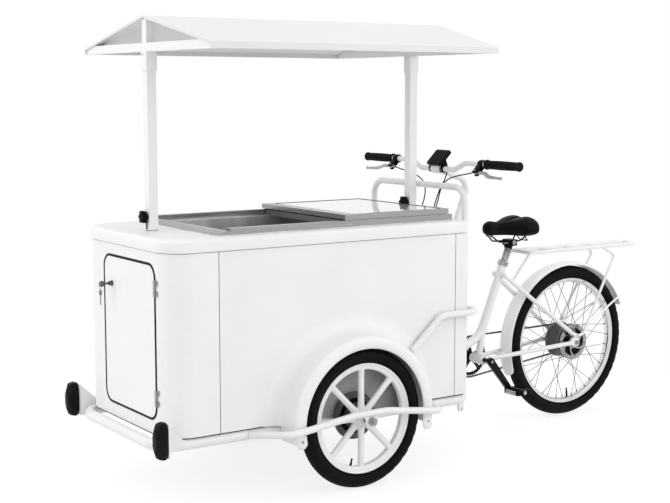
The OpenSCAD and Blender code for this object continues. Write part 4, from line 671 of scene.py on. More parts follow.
edge = [(10.0, PANEL_TOP), (1.4, PANEL_TOP), (0.4, PANEL_TOP + 0.4), (0.0, PANEL_TOP + 1.4), (0.0, DECK - 22)]
edge += [(DECK_ROUND - x, DECK - DECK_ROUND + z) for x, z in disc_line(DECK_ROUND, 10, turn=90)]
edge += [(22.0, DECK)]
bm = bmesh.new()
loops = [[bm.verts.new((x, y, z)) for x, y in deck_outline(inset)] for inset, z in edge]
skin(bm, loops)
opening = [(WELL_HALF, WELL_FRONT), (WELL_HALF, WELL_BACK), (-WELL_HALF, WELL_BACK), (-WELL_HALF, WELL_FRONT)]
rims = [[bm.verts.new((x, y, z)) for x, y in opening] for z in (PANEL_TOP, DECK)]
skin(bm, rims)
for ring, rim in ((loops[0], rims[0]), (loops[-1], rims[1])):
    around = [bm.edges.get((r[i], r[(i + 1) % len(r)])) for r in (ring, rim) for i in range(len(r))]
    bmesh.ops.triangle_fill(bm, edges=around, use_beauty=True)
deck = piece("deck_moulding", bm, "cargo_box", deck_paint, ["top_cap"])
print("deck faces:", len(deck.data.polygons))

# %% [markdown]
# ## Moulded wheel arches
# Each front fender grows out of the side panel in a hollow curve, turns over a round crown and ends in a wide
# lip beside the tyre. It could be a bent strip, but then the soft shadow where it leaves the panel is lost.
# Turning that section about the axle gives the arch: the hollow curve as far as the foot of the panel, and the
# band with its lip a little further down.

# %% Fenders
FRONT_AXLE, FRONT_R = -490.5, 258.0
BAND_FROM, BAND_TO, LIP_R, ARCH_SHADE_R = -11.0, 190.0, 281.6, 301.0
flare_profile = [(378.0, 345.1), (352.0, 346.4), (334.0, 350.6), (321.0, 358.6), (313.0, 370.6), (308.6, 386.6),
                 (306.4, 404.6), (305.4, 424.0), (303.5, 424.0), (303.5, 345.1)]
band_profile = [(305.0, 345.2), (305.0, 434.0), (304.2, 437.6), (300.2, 443.4), (292.0, 448.0), (282.0, 450.0),
                (271.0, 449.6), (263.4, 447.2), (260.0, 444.4), (258.9, 442.6), (260.4, 441.2), (268.0, 444.0),
                (280.0, 446.4), (291.0, 444.8), (298.0, 440.4), (301.2, 433.8), (302.0, 420.0), (302.0, 345.2)]
tongue_profile = [(0, 0), (21.4, 1.0), (22.6, 2.4), (21.0, 4.6), (15.0, 7.6), (8.0, 8.8), (0, 9.0)]


def front_hub(x):
    """The point of the front axle's line that is so far from the middle."""
    return Vector((x, FRONT_AXLE, FRONT_R))


bm = bmesh.new()
for side in BOTH:
    lathe(bm, [(r, side * x) for r, x in flare_profile], front_hub(0), X, 120, 0.8, 178.4)
    lathe(bm, [(r, side * x) for r, x in band_profile], front_hub(0), X, 120, BAND_FROM, BAND_TO - BAND_FROM)
    for a in (BAND_FROM, BAND_TO):
        lathe(bm, tongue_profile, front_hub(side * 441.0) + out_at(a) * LIP_R, X * side, 40)
fenders = piece("arch_fenders", bm, "cargo_box", shell_paint, ["front_fenders"])
bolt_set("fender_bolts", "cargo_box", [
    (front_hub(side * 449.8) + out_at(a) * r, X * side, wide, 2.6) for side in BOTH
    for a, r, wide in ((188.5, 282.0, 11.0), (184.0, 268.0, 5.0), (-9.0, 281.0, 9.0))])
# Painted shade: a grey half-disc on each side panel, inside the arch, where the fender and the wheel shade the
# panel.
bm = bmesh.new()
arch_shade_outline = disc_line(ARCH_SHADE_R, 48, (FRONT_AXLE, FRONT_R), 1.2, 177.6)
arch_shade_outline += [(FRONT_AXLE - 300.9, 264.0), (FRONT_AXLE + 300.9, 264.0)]
for side in BOTH:
    plate(bm, arch_shade_outline, (side * 345.3, 0, 0), Y, Z, side * 1.2)
piece("painted_arch_shade", bm, "cargo_box", arch_shade_grey)
print("fender faces:", len(fenders.data.polygons))

# %% [markdown]
# ## Tyres
# A tyre is a round section with feet that sit in the rim, blocks along both shoulders and fine grooves round
# the middle. A torus has no feet and no tread, so the section is turned like a rim, and a ripple that depends
# on the turn and on the place in the section sinks the grooves between the blocks.

# %% Tyre maker
WHEEL_X, REAR_AXLE, REAR_R = 406.0, 904.5, 334.0
rear_hub = Vector((0, REAR_AXLE, REAR_R))


def tyre(name, body, node, centre, wheel_r, width, seat, steps, every):
    """A tyre with shoulder blocks; steps is how many slices it has and every the slices in a block and its gap."""
    half = width / 2
    mid = wheel_r - half
    angles = [-126 + 7 * i for i in range(37)]
    outside = disc_line(half, 36, (mid, 0.0), -126, 252)
    inside = disc_line(half - 6, 16, (mid, 0.0), 112, -224)
    profile = outside + [(seat + 7, 17.0), (seat + 0.4, 16.6), (seat + 0.4, 9.4), (seat + 7, 9.2)] + inside
    profile += [(seat + 7, -9.2), (seat + 0.4, -9.4), (seat + 0.4, -16.6), (seat + 7, -17.0)]

    def tread(i, j):
        if j >= len(angles):
            return 0.0
        a = abs(angles[j])
        shift = every // 2 if angles[j] > 0 else 0
        if 26 <= a <= 62 and (i + shift) % every < every // 3:
            return -2.0
        if 9 <= a <= 16:
            return -1.4
        return -1.2 if 70 <= a <= 74 else 0.0

    bm = bmesh.new()
    lathe(bm, profile, centre, X, steps, ripple=tread)
    return piece(name, bm, body, tyre_rubber, [node], angle=40)


for side, word in SIDES:
    tyre("tyre_front_" + word, "front_wheel_" + word, "front_tyre_" + word, front_hub(side * WHEEL_X), FRONT_R, 56.0,
         203.0, 216, 6)
tyre("tyre_rear", "rear_wheel", "rear_tyre", rear_hub, REAR_R, 57.0, 279.5, 288, 6)
print("tyres made:", made[-3:])

# %% [markdown]
# ## Cast front wheels
# The white wheels are cast in one piece: a stepped rim, eight round spokes that swell where they meet the rim
# and the hub, and a turned hub. The swelling is what makes a casting look cast, so each spoke is swept along its
# length with a section that grows at both ends, and sinks into the rim and the hub.

# %% Cast wheels
rim_profile = [(203.0, -20.0), (203.0, 20.0), (199.6, 20.0), (198.0, 18.6), (195.0, 17.6), (193.0, 14.6),
               (184.0, 13.4), (179.6, 10.0), (178.6, 6.0), (178.6, -6.0), (179.6, -10.0), (184.0, -13.4),
               (193.0, -14.6), (195.0, -17.6), (198.0, -18.6), (199.6, -20.0)]
hub_profile = [(8.2, -36.0), (26.0, -36.0), (29.0, -34.5), (31.0, -30.0), (36.0, -16.0), (37.0, -8.0), (37.0, 8.0),
               (36.0, 16.0), (31.0, 30.0), (29.0, 34.5), (26.0, 36.0), (8.2, 36.0)]


def spoke_half(t):
    """The half sizes of a cast spoke, which swells at the hub and at the rim."""
    return (11.8 + 6.5 * math.exp(-t / 0.10) + 7.0 * math.exp((t - 1) / 0.05),
            10.6 + 5.0 * math.exp(-t / 0.12) + 2.0 * math.exp((t - 1) / 0.05))


def cast_wheel(side, word):
    """One cast wheel with its valve."""
    centre = front_hub(side * WHEEL_X)
    bm = bmesh.new()
    lathe(bm, rim_profile, centre, X, 144)
    lathe(bm, hub_profile, centre, X, 64)
    for i in range(8):
        out = out_at(45 * i)
        sweep(bm, [centre + out * (26 + 162 * k / 18) for k in range(19)], spoke_half, 20, up=out_at(45 * i + 90))
    wheel = piece("cast_wheel_" + word, bm, "front_wheel_" + word, tube_paint, ["front_rim_" + word])
    bm = bmesh.new()
    out = out_at(255)
    lathe(bm, [(0, 0), (2.6, 0), (3.2, 1.0), (3.2, 14.0), (4.2, 15.0), (4.2, 33.0), (0, 33.0)], centre + out * 152,
          out, 16)
    piece("valve_front_" + word, bm, "front_wheel_" + word, satin_black)
    return wheel


print("cast wheel faces:", [len(cast_wheel(*which).data.polygons) for which in SIDES])

# %% [markdown]
# ## Spoked rear wheel
# The rear wheel has a hollow alloy rim, thirty-six wire spokes that cross on their way from the flanges of the
# hub motor, and a dark steel nipple at each. Spokes leave the flange well round from the place where they reach
# the rim, one leaning forward and the next back, and this is what carries the motor's pull.

# %% Rim, spokes and nipples
bm = bmesh.new()
lathe(bm, [(279.5, -20.0), (279.5, 20.0), (277.0, 20.0), (268.5, 19.0), (265.0, 15.8), (261.6, 10.0), (260.6, 5.0),
           (260.6, -5.0), (261.6, -10.0), (265.0, -15.8), (268.5, -19.0), (277.0, -20.0)], rear_hub, X, 180)
piece("alloy_rim", bm, "rear_wheel", rim_alloy, ["rear_rim"])


def wheel_point(r, degrees, x):
    """A point of the rear wheel at a radius and an angle."""
    y, z = on_circle(r, degrees)
    return Vector((x, REAR_AXLE + y, REAR_R + z))


wires, nipples = bmesh.new(), bmesh.new()
for i in range(36):
    s, lean = (1 if i % 2 == 0 else -1), (1 if (i // 2) % 2 == 0 else -1)
    foot = wheel_point(79.4, 10 * i + lean * 38, s * (36 + 2.5 * lean))
    tip = wheel_point(260.2, 10 * i, s * (5 + 1.5 * lean))
    sweep(wires, [foot, tip], 1.1, 8)
    lathe(nipples, [(0, -1.5), (2.9, -1.5), (2.9, 0.6), (2.0, 1.2), (2.0, 9.0), (1.5, 11.5), (0, 11.5)], tip,
          foot - tip, 10)
piece("wire_spokes", wires, "rear_wheel", spoke_wire, ["wire_spokes_set"])
piece("spoke_nipples", nipples, "rear_wheel", chain_steel)
bm = bmesh.new()
lathe(bm, [(0, 0), (2.6, 0), (3.4, 1.5), (3.4, 16.0), (4.4, 17.0), (4.4, 41.0), (0, 41.0)],
      wheel_point(221, 275, 0), out_at(275), 16)
piece("valve_rear", bm, "rear_wheel", satin_black)
print("spoked wheel made")

# %% Hub motor
ribs = [p for i in range(14) for p in ((73.0, -28.0 + 4 * i), (73.0, -26.0 + 4 * i), (69.6, -25.6 + 4 * i),
                                       (69.6, -24.4 + 4 * i))]
motor_profile = [(6.2, -46.0), (32.4, -46.0), (33.7, -44.6), (33.7, -42.6), (52.0, -42.0), (56.0, -40.6),
                 (68.0, -40.6), (72.0, -42.0), (76.4, -42.0), (78.0, -40.4), (78.0, -31.6), (76.6, -30.0),
                 (73.0, -29.6)]
motor_profile += ribs[:-2] + [(73.0, 29.6), (76.6, 30.0), (78.0, 31.6), (78.0, 40.4), (76.4, 42.0), (72.0, 42.0),
                              (68.0, 40.6), (56.0, 40.6), (52.0, 42.0), (33.7, 42.6), (33.7, 44.6), (32.4, 46.0),
                              (29.0, 46.0), (29.0, 54.6), (6.2, 54.6)]
bm = bmesh.new()
lathe(bm, motor_profile, rear_hub, X, 128)
for side in BOTH:
    for i in range(10):
        dome_bolt(bm, wheel_point(62, 36 * i + 10, side * 40.6), X * side, 8.0, 3.4)
    for i in range(20):
        rib, out = wheel_point(43, 18 * i, side * 42.0), out_at(18 * i)
        sweep(bm, [rib - out * 7, rib + out * 8], lambda t: (1.6, 1.8), 8, up=X)
motor = piece("motor_casing", bm, "rear_wheel", cast_grey, ["hub_motor"])
print("motor faces:", len(motor.data.polygons))

# %% Brake rotor
ROTOR_X = 56.1
rotor_at = rear_hub + X * ROTOR_X
holes = [disc_line(2.4, 12, on_circle(r, 15 * i + lag)) for r, lag in ((66.5, 0.0), (71.2, 5.0), (75.9, 10.0))
         for i in range(24)]
screw_holes = [disc_line(2.6, 12, on_circle(22, 60 * i)) for i in range(6)]
bm = bmesh.new()
pierced(bm, [disc_line(80.0, 120), disc_line(62.0, 96)] + holes, rotor_at, Y, Z, 2.0)
pierced(bm, [disc_line(29.0, 60), disc_line(9.0, 32)] + screw_holes, rotor_at, Y, Z, 2.0)
for i in range(6):
    arm = [wheel_point(27 + 37 * k / 8, 60 * i + 34 * k / 8, ROTOR_X) for k in range(9)]
    sweep(bm, arm, lambda t: (0.95, 4.6 - 1.2 * math.sin(math.pi * t)), 8, up=X)
piece("brake_rotor", bm, "rear_wheel", rotor_steel, ["rear_rotor"])
bolt_set("rotor_bolts", "rear_wheel",
         [(wheel_point(22, 60 * i + 30, ROTOR_X + 1.0), X, 7.0, 2.6) for i in range(6)])
bm = bmesh.new()
lathe(bm, [(29.0, 50.6), (60.0, 50.6), (60.0, 51.6), (29.0, 51.6)], rear_hub, X, 72)
piece("rotor_backing", bm, "rear_wheel", satin_black)
print("rotor with", len(holes), "holes")

# %% [markdown]
# ## Chain and cranks
# The chain is a loop of 116 links, with inner and outer plates in turn, pins and rollers. A ribbon would do at
# a distance, but the outline of a chain is knobbly and light shows through it, so each link is cut and placed
# along the loop: two straight runs, and an arc on each toothed wheel.

# %% Chain loop
CRANK, CRANK_Z = 407.5, 305.0
RING_R, COG_R, CHAIN_X, LINKS = 88.96, 64.8, -54.0, 116


def crank_at(x):
    """The point of the crank's axis that is so far from the middle."""
    return Vector((x, CRANK, CRANK_Z))


ring_at, cog_at = crank_at(CHAIN_X), rear_hub + X * CHAIN_X
span = cog_at - ring_at
lean_angle = math.atan2(span.z, span.y)
slip = math.asin((RING_R - COG_R) / span.length)
run_length = span.length * math.cos(slip)
stretches = [run_length, COG_R * (math.pi - 2 * slip), run_length, RING_R * (math.pi + 2 * slip)]


def on_wheel(at, r, angle):
    """A point on a toothed wheel, at an angle in radians."""
    return at + Vector((0, math.cos(angle), math.sin(angle))) * r


def chain_point(s):
    """The place along the chain at a distance from the chainring's top."""
    up, down = lean_angle + math.pi / 2 - slip, lean_angle - math.pi / 2 + slip
    s %= sum(stretches)
    if s < stretches[0]:
        return on_wheel(ring_at, RING_R, up).lerp(on_wheel(cog_at, COG_R, up), s / stretches[0])
    s -= stretches[0]
    if s < stretches[1]:
        return on_wheel(cog_at, COG_R, up - s / COG_R)
    s -= stretches[1]
    if s < stretches[2]:
        return on_wheel(cog_at, COG_R, down).lerp(on_wheel(ring_at, RING_R, down), s / stretches[2])
    return on_wheel(ring_at, RING_R, down - (s - stretches[2]) / RING_R)


print("chain length:", round(sum(stretches), 1))

# %% Links
bm = bmesh.new()
pitch = sum(stretches) / LINKS
for i in range(LINKS):
    a, b = chain_point(i * pitch), chain_point((i + 1) * pitch)
    along, mid = (b - a).normalized(), (a + b) / 2
    end = disc_line(4.1, 9, (-(b - a).length / 2, 0.0), 45, 270)
    shape = end + [(0, -2.7)] + [(-x, -y) for x, y in end] + [(0, 2.7)]
    offset = 2.9 if i % 2 else 1.75
    for x in (offset, -offset - 1.0):
        plate(bm, shape, mid + X * x, along, X.cross(along), 1.0)
    lathe(bm, [(0, -3.95), (1.8, -3.95), (1.8, -1.7), (3.4, -1.7), (3.4, 1.7), (1.8, 1.7), (1.8, 3.95), (0, 3.95)],
          a, X, 10)
piece("roller_chain", bm, "rear_cycle", chain_steel, ["drive_chain"])
print("chain of", LINKS, "links, pitch", round(pitch, 2))

# %% Toothed wheels
def toothed(tip, root, teeth):
    """The outline of a toothed wheel."""
    line = []
    for i in range(teeth):
        for share, r in ((0.0, tip), (0.16, tip - 0.6), (0.34, root + 0.6), (0.5, root), (0.66, root + 0.6),
                         (0.84, tip - 0.6)):
            line.append(on_circle(r, 360 * (i + share) / teeth))
    return line


windows = [disc_line(8.5, 24, on_circle(38, 60 * i)) for i in range(6)]
bm = bmesh.new()
pierced(bm, [toothed(60.6, 55.6, 32), disc_line(6.2, 24)] + windows, cog_at, Y, Z, 2.6)
lathe(bm, [(6.2, -16.0), (20.6, -16.0), (22.0, -14.6), (22.0, 1.2), (6.2, 1.2)], cog_at, X, 48)
cog = piece("driven_cog", bm, "sprocket", chain_steel, ["sprocket"])
print("cog faces:", len(cog.data.polygons))

# %% Cranks
ARM, ARM_ANGLE = 165.0, 39
PEDAL_Y, PEDAL_Z = on_circle(ARM, ARM_ANGLE - 90)
spider = [72 * i + 20 + math.degrees(lean_angle) for i in range(5)]


def tapered(r0, r1, length, steps=14):
    """The outline of an arm with a round end of radius r0 at the origin and one of r1 at its length."""
    a = math.degrees(math.asin((r0 - r1) / length))
    inner = disc_line(r0, steps, (0, 0), 90 - a, 180 + 2 * a)
    return inner + disc_line(r1, steps, (length, 0), -90 + a, 180 - 2 * a)


bm = bmesh.new()
for s, arm_x, groove_x in ((1, 72.0, 84.8), (-1, -86.0, -87.2)):
    out = Vector((0, s * PEDAL_Y, s * PEDAL_Z)).normalized()
    plate(bm, tapered(16.5, 12.6, ARM), crank_at(arm_x), out, X.cross(out), 14.0)
    plate(bm, tapered(6.0, 5.0, 92.0), crank_at(groove_x) + out * 34, out, X.cross(out), 2.4)
piece("crank_arms", bm, "crank", crank_black, ["crankset"], bevel=2.6)
bm = bmesh.new()
lathe(bm, [(0, -71.0), (9.0, -71.0), (9.0, 71.0), (0, 71.0)], crank_at(0), X, 40)
lathe(bm, [(9.0, -84.5), (20.4, -84.5), (22.0, -83.0), (22.0, -51.5), (9.0, -51.5)], crank_at(0), X, 48)
pierced(bm, [toothed(84.6, 79.6, 44), disc_line(68.0, 72)], ring_at, Y, Z, 2.6)
blade = [(14, -11), (40, -6.4), (60, -6.8), (70, -9.0), (72, 0), (70, 9.0), (60, 6.8), (40, 6.4), (14, 11)]
for a in spider:
    plate(bm, blade, crank_at(CHAIN_X - 2.4), out_at(a), X.cross(out_at(a)), 3.4)
for s in BOTH:
    lathe(bm, [(0, 0), (14.6, 0), (14.6, 2.6), (13.0, 4.2), (9.6, 4.6), (9.0, 3.4), (0, 3.4)], crank_at(s * 86),
          X * s, 40)
piece("chainring", bm, "crank", crank_black)
bm = bmesh.new()
for s in BOTH:
    hex_bolt(bm, crank_at(s * 89.2), X * s, 11.0, 2.6, washer=False)
    lathe(bm, [(6.4, 0), (10.0, 0), (10.0, 1.0), (6.4, 1.0)], (s * 86, CRANK + s * PEDAL_Y, CRANK_Z + s * PEDAL_Z),
          X * s, 28)
for a in spider:
    dome_bolt(bm, crank_at(CHAIN_X - 2.3) + out_at(a) * 67, -X, 9.0, 2.6)
piece("crank_bolts", bm, "crank", zinc_plate)
print("cranks made")

# %% [markdown]
# ## Pedals
# A pedal is a moulded cage round a barrel, with studs along the treads and a pale prism reflector on the front
# and on the back. The cage is cut as one pierced plate, which gives the two windows, and then rounded.

# %% Pedals
PEDAL_X = 136.0


def slab(w, h):
    """A plain rectangle about the origin."""
    return [(-w / 2, -h / 2), (w / 2, -h / 2), (w / 2, h / 2), (-w / 2, h / 2)]


def pedal(s, word):
    """One pedal; s is 1 on the left."""
    body = "pedal_" + word
    middle = Vector((s * PEDAL_X, CRANK + s * PEDAL_Y, CRANK_Z + s * PEDAL_Z))
    window = [(-33, 13), (33, 13), (33, 28), (-33, 28)]
    bm = bmesh.new()
    pierced(bm, [rounded(92, 78, 8.0, 6), window, [(x, -v) for x, v in window]], middle, X, Y, 21.0)
    for v in (-33, 33):
        for k in range(7):
            for up in BOTH:
                stud = middle + X * (-33 + 11 * k) + Y * v
                lathe(bm, [(0, 10.0), (2.6, 10.0), (2.2, 12.4), (0, 12.6)], stud, Z * up, 10)
    for k in range(5):
        plate(bm, slab(2.8, 18), middle + Vector((-26 + 13 * k, -29, 0)), X, Z, -58.0)
    piece("pedal_cage_" + word, bm, body, satin_black, [body], bevel=1.4)
    bm = bmesh.new()
    lathe(bm, [(0, -44), (10.6, -44), (11.6, -42), (11.6, 44), (9.0, 46.5), (0, 46.8)], middle, X * s, 32)
    lathe(bm, [(0, -64.0), (6.0, -64.0), (6.0, -46.0), (8.4, -45.6), (8.4, -43.0), (0, -43.0)], middle, X * s, 28)
    piece("pedal_axle_" + word, bm, body, chain_steel)
    bm = bmesh.new()
    for v in (-1, 1):
        for up in BOTH:
            plate(bm, slab(60, 6.4), middle + Vector((0, v * 38.6, up * 4.4)), X, Z, -v * 2.2)
    lathe(bm, [(0, 46.0), (7.6, 46.0), (7.6, 47.8), (6.4, 48.8), (0, 49.0)], middle, X * s, 28)
    piece("pedal_reflectors_" + word, bm, body, reflector_prism, bevel=0.5)


for side, word in SIDES:
    pedal(side, word)
print("pedals made:", made[-6:])

# %% [markdown]
# ## Handlebar fittings
# The bar itself is a bent tube and stays as it is. The grips are rubber with fine ribs round them, the lever
# mounts are moulded clamps with a fork, and the levers are flattened rod that ends in a ball, so that a hand
# that slips is not cut. A grip could be ribbed by bump alone, but its outline is seen against white.

# %% Grips
BAR_Y, BAR_Z, BAR_TOP, RIBS = 178.5, 1122.0, 1152.0, 29
grip_line = [(11.3, 305.0), (19.0, 305.0), (20.0, 306.2), (20.0, 309.6), (19.0, 311.0)]
for k in range(RIBS):
    x = 313.0 + 6 * k
    swell = 16.6 + 1.2 * math.sin(math.pi * k / (RIBS - 1))
    grip_line += [(swell, x), (swell - 1.3, x + 0.9), (swell - 1.3, x + 2.1), (swell, x + 3.0)]
grip_line += [(17.4, 489.0), (18.6, 491.0), (18.8, 495.0), (17.0, 497.8), (8.0, 498.0), (0.0, 498.0), (0.0, 493.4),
              (11.3, 493.4)]
bm = bmesh.new()
for s in BOTH:
    lathe(bm, [(r, s * x) for r, x in grip_line], (0, BAR_Y, BAR_TOP), X, 48)
piece("ribbed_grips", bm, "cargo_box", grip_rubber, ["grips"])
print("ribs on each grip:", RIBS)

# %% Lever mounts
LEVER, LEVER_TIP = (278, 148.5, 1122.0), (438, 134.5, 1106)
FACE, RISE = Vector((0, -1, 1)).normalized(), Vector((0, 1, 1)).normalized()
fork = [(-11, -8), (-7, -12), (8, -12), (12, -7), (13, 6), (13, 28), (-13, 28), (-13, 6)]
pin_profile = [(0, -12.4), (4.6, -12.4), (4.6, -11.4), (3.0, -11.2), (3.0, 11.2), (4.6, 11.4), (4.6, 12.4),
               (0, 12.4)]
bm, silver = bmesh.new(), bmesh.new()
for s in BOTH:
    pivot, clamp = sided(LEVER, s), Vector((s * LEVER[0], BAR_Y, BAR_TOP))
    lathe(bm, [(11.3, -13.0), (15.6, -13.0), (17.0, -11.6), (17.0, 11.6), (15.6, 13.0), (11.3, 13.0)], clamp, X, 48)
    for k in BOTH:
        plate(bm, [(s * a, b) for a, b in fork], pivot + FACE * (8.3 * k - 3.0), X, RISE, 6.0)
    lathe(silver, pin_profile, pivot, FACE, 20)
    lathe(silver, [(2.7, 0), (5.0, 0), (5.0, 4.0), (4.2, 5.0), (4.2, 14.0), (2.7, 14.6)],
          (s * 266, LEVER[1], 1121.4), X * -s, 20)
    hex_bolt(silver, clamp + Vector((0, 2.0, 16.0)), Z, 7.0, 3.0, washer=False)
lathe(silver, [(11.4, -19.0), (14.6, -19.0), (15.4, -18.0), (15.4, -14.2), (11.4, -13.4)],
      (-LEVER[0], BAR_Y, BAR_TOP), X, 40)
piece("lever_clamps", bm, "cargo_box", satin_black, ["lever_mounts"], bevel=1.2)
piece("clamp_hardware", silver, "cargo_box", zinc_plate)
print("lever mounts made")

# %% Levers
bend = [LEVER, (304, 147.6, 1121), (330, 146.1, 1119.2), (348, 141.0, 1113.6), (364, 137.2, 1109.0),
        (384, 135.8, 1107.4), (410, 135.0, 1106.6), LEVER_TIP]
ball = [(x, -y) for y, x in disc_line(6.5, 12, turn=180)]


def lever_half(t):
    """The half sizes of a lever, widest where the fingers pull."""
    return 5.4, 6.4 + 2.6 * math.sin(math.pi * min(1.0, t * 1.15)) - 1.2 * t


for s, word in SIDES:
    bm = bmesh.new()
    sweep(bm, smooth_line([sided(p, s) for p in bend], 6), lever_half, 20, up=FACE)
    lathe(bm, ball, sided(LEVER_TIP, s), X, 24)
    lathe(bm, [(3.1, -5.0), (8.2, -5.0), (9.0, -4.2), (9.0, 4.2), (8.2, 5.0), (3.1, 5.0)], sided(LEVER, s), FACE, 32)
    piece("brake_lever_" + word, bm, "lever_" + word, lever_alloy, ["lever_" + word])
print("levers made:", made[-2:])

# %% Display
DISPLAY_CLAMP = 37
display_at = Vector((0, 182.5, 1167.0))
bm = bmesh.new()
plate(bm, rounded(92, 78, 9), display_at - FACE * 6.5, X, RISE, 12.4)
for s in BOTH:
    lathe(bm, [(11.3, -8.0), (14.2, -8.0), (15.0, -7.0), (15.0, 7.0), (14.2, 8.0), (11.3, 8.0)],
          (s * DISPLAY_CLAMP, BAR_Y, BAR_Z), X, 40)
    plate(bm, rounded(16, 30, 4), (s * DISPLAY_CLAMP, BAR_Y - 6.0, BAR_Z + 24.0), X, Z, -14.0)
piece("display_case", bm, "cargo_box", satin_black, ["display"], bevel=1.8)
bm = bmesh.new()
plate(bm, rounded(78, 54, 4), display_at + FACE * 5.7 + RISE * 5.0, X, RISE, 0.7)
piece("display_glass", bm, "cargo_box", screen_black, bevel=0.3)
bm = bmesh.new()
for x in (-24, 0, 24):
    plate(bm, rounded(15, 7, 3), display_at + FACE * 5.6 - RISE * 30.0 + X * x, X, RISE, 1.4)
piece("display_buttons", bm, "cargo_box", gasket_rubber, bevel=0.5)
bolt_set("display_bolts", "cargo_box",
         [((s * DISPLAY_CLAMP, BAR_Y - 14.6, BAR_Z - 2.0), -Y, 6.0, 2.6) for s in BOTH])
print("display made")

# %% [markdown]
# ## Knobs, buffers and key
# Six-lobed knobs clamp the canopy posts, rubber buffers stand at the front corners, and a key hangs in the door.
# The knobs' lobes follow a wave round a circle, and each level of the knob is that line at another size, so
# that the edges round over.

# %% Clamp knobs
KNOB_Z, LOBE_STEPS = 994.0, 96
POST_FACES = (("front", -1136.0), ("rear", 19.5))
turns = [2 * math.pi * k / LOBE_STEPS for k in range(LOBE_STEPS)]
lobes = [(20.6 + 3.4 * math.cos(6 * a), a) for a in turns]
levels = [(0.55, -26.0), (0.78, -25.8), (0.93, -24.4), (1.0, -22.0), (1.0, -9.4), (0.94, -7.2), (0.60, -6.8)]
for word, face in POST_FACES:
    bm = bmesh.new()
    rings = [[bm.verts.new((r * size * math.cos(a), face + y, KNOB_Z + r * size * math.sin(a))) for r, a in lobes]
             for size, y in levels]
    skin(bm, rings)
    bm.faces.new(rings[0])
    bm.faces.new(rings[-1])
    lathe(bm, [(0, -8), (8.0, -8), (8.0, -0.4), (0, -0.4)], (0, face, KNOB_Z), Y, 32)
    lathe(bm, [(0, -26.6), (6.0, -26.6), (6.6, -25.6), (0, -25.6)], (0, face, KNOB_Z), Y, 28)
    piece("clamp_knob_" + word, bm, word + "_clamp_knob", satin_black, [word + "_knob"])
washers, stems = bmesh.new(), bmesh.new()
for word, face in POST_FACES:
    lathe(washers, [(8.4, -1.4), (13.0, -1.4), (13.0, -0.2), (8.4, -0.2)], (0, face, KNOB_Z), Y, 32)
    lathe(washers, [(4.4, 0.2), (11.0, 0.2), (11.0, 1.6), (4.4, 1.6)], (0, face + 35.0, KNOB_Z), Y, 32)
    dome_bolt(washers, (-6.0, face - 3.3, 1566.0), -Y, 5.4, 1.8)
    lathe(stems, [(0, 0), (1.8, 0), (2.4, 0.8), (2.4, 30.0), (0, 30.0)], (0, face - 2.3, 950.5), Z, 20)
piece("knob_washers", washers, "canopy", zinc_plate)
piece("knob_stems", stems, "canopy", satin_black)
print("knobs made:", made[-4:])

# %% Buffers
BUFFER_Y, BUFFER_Z = BOX_FRONT - 74.0, 211.5


def buffer_line(w, cut):
    """A tall octagon of half width w, shortened by cut at both ends."""
    return [(-w, -44 + cut), (-w + 12, -66 + cut), (w - 12, -66 + cut), (w, -44 + cut), (w, 44 - cut),
            (w - 12, 66 - cut), (-w + 12, 66 - cut), (-w, 44 - cut)]


bm, bolts = bmesh.new(), bmesh.new()
for s in BOTH:
    rings = [[bm.verts.new((s * 371 + x, BUFFER_Y + y, BUFFER_Z + 68 + z)) for x, z in buffer_line(w, cut)]
             for y, w, cut in ((42, 24.0, 4.0), (30, 28.0, 2.0), (12, 26.0, 6.0), (0, 15.0, 30.0))]
    skin(bm, rings)
    bm.faces.new(rings[0])
    bm.faces.new(rings[-1][::-1])
    for z in (30, 104):
        hex_bolt(bolts, (s * 378, BUFFER_Y + 48.2, BUFFER_Z + z), Y, 10.0, 5.0)
piece("corner_buffers", bm, "cargo_box", buffer_rubber, ["bumper_pads"], bevel=3.0, angle=20)
piece("buffer_bolts", bolts, "cargo_box", zinc_plate)
print("buffers made")

# %% Key ring
ring_centre = Vector((-97.5, -1277.6, 741.0))
shank = [(-3.0, 0), (-2.2, -34), (0, -37), (2.4, -34), (2.4, -28), (1.4, -26), (2.4, -24), (2.4, -16), (3.0, 0)]
bm = bmesh.new()
sweep(bm, [ring_centre + Vector((a, 0, b)) for a, b in disc_line(11, 40)], 0.8, 8, closed=True)
plate(bm, shank, ring_centre + Vector((0, 0.9, -29.0)), X, Z, 1.8)
pierced(bm, [rounded(20, 18, 6), disc_line(3.4, 20, (0, 4.4))], ring_centre + Vector((0, 0, -20.0)), X, Z, 1.8)
piece("spare_key", bm, "key", lock_nickel)
print("spare key at", list(ring_centre))

# %% [markdown]
# ## Seams and door trim
# White panels are told apart by the dark lines between them: dark strips in the upright seam gaps, a painted
# shadow line under the deck's overhang, painted shade in the gap along the lower edge, and a round gasket all
# about the door, wider than its seal, so that it also paints the shade of the gap round the door. Each is a thin
# strip that stands a fraction of a millimetre proud. The hinges get their leaves and barrels, the middle part on
# the door and the rest on the box.

# %% Seam strips
bm = bmesh.new()
for s in BOTH:
    for y in (-1038.5, -5.5):
        plate(bm, [(-1.1, 262.5), (1.1, 262.5), (1.1, 897.5), (-1.1, 897.5)], (s * 344.0, y, 0), Y, Z, s * 1.25)
# Painted shadow under the deck's overhang, and painted shade in the gap between the panels' foot and the frame.
for z, high in ((895.8, 2.1), (262.2, 3.4)):
    pierced(bm, [deck_outline(5.75), deck_outline(7.5)], (0, 0, z + high / 2), X, Y, high)
seam_and_shade_lines = piece("seam_and_shade_strips", bm, "cargo_box", seam_and_shade_grey)
print("seam faces:", len(seam_and_shade_lines.data.polygons))

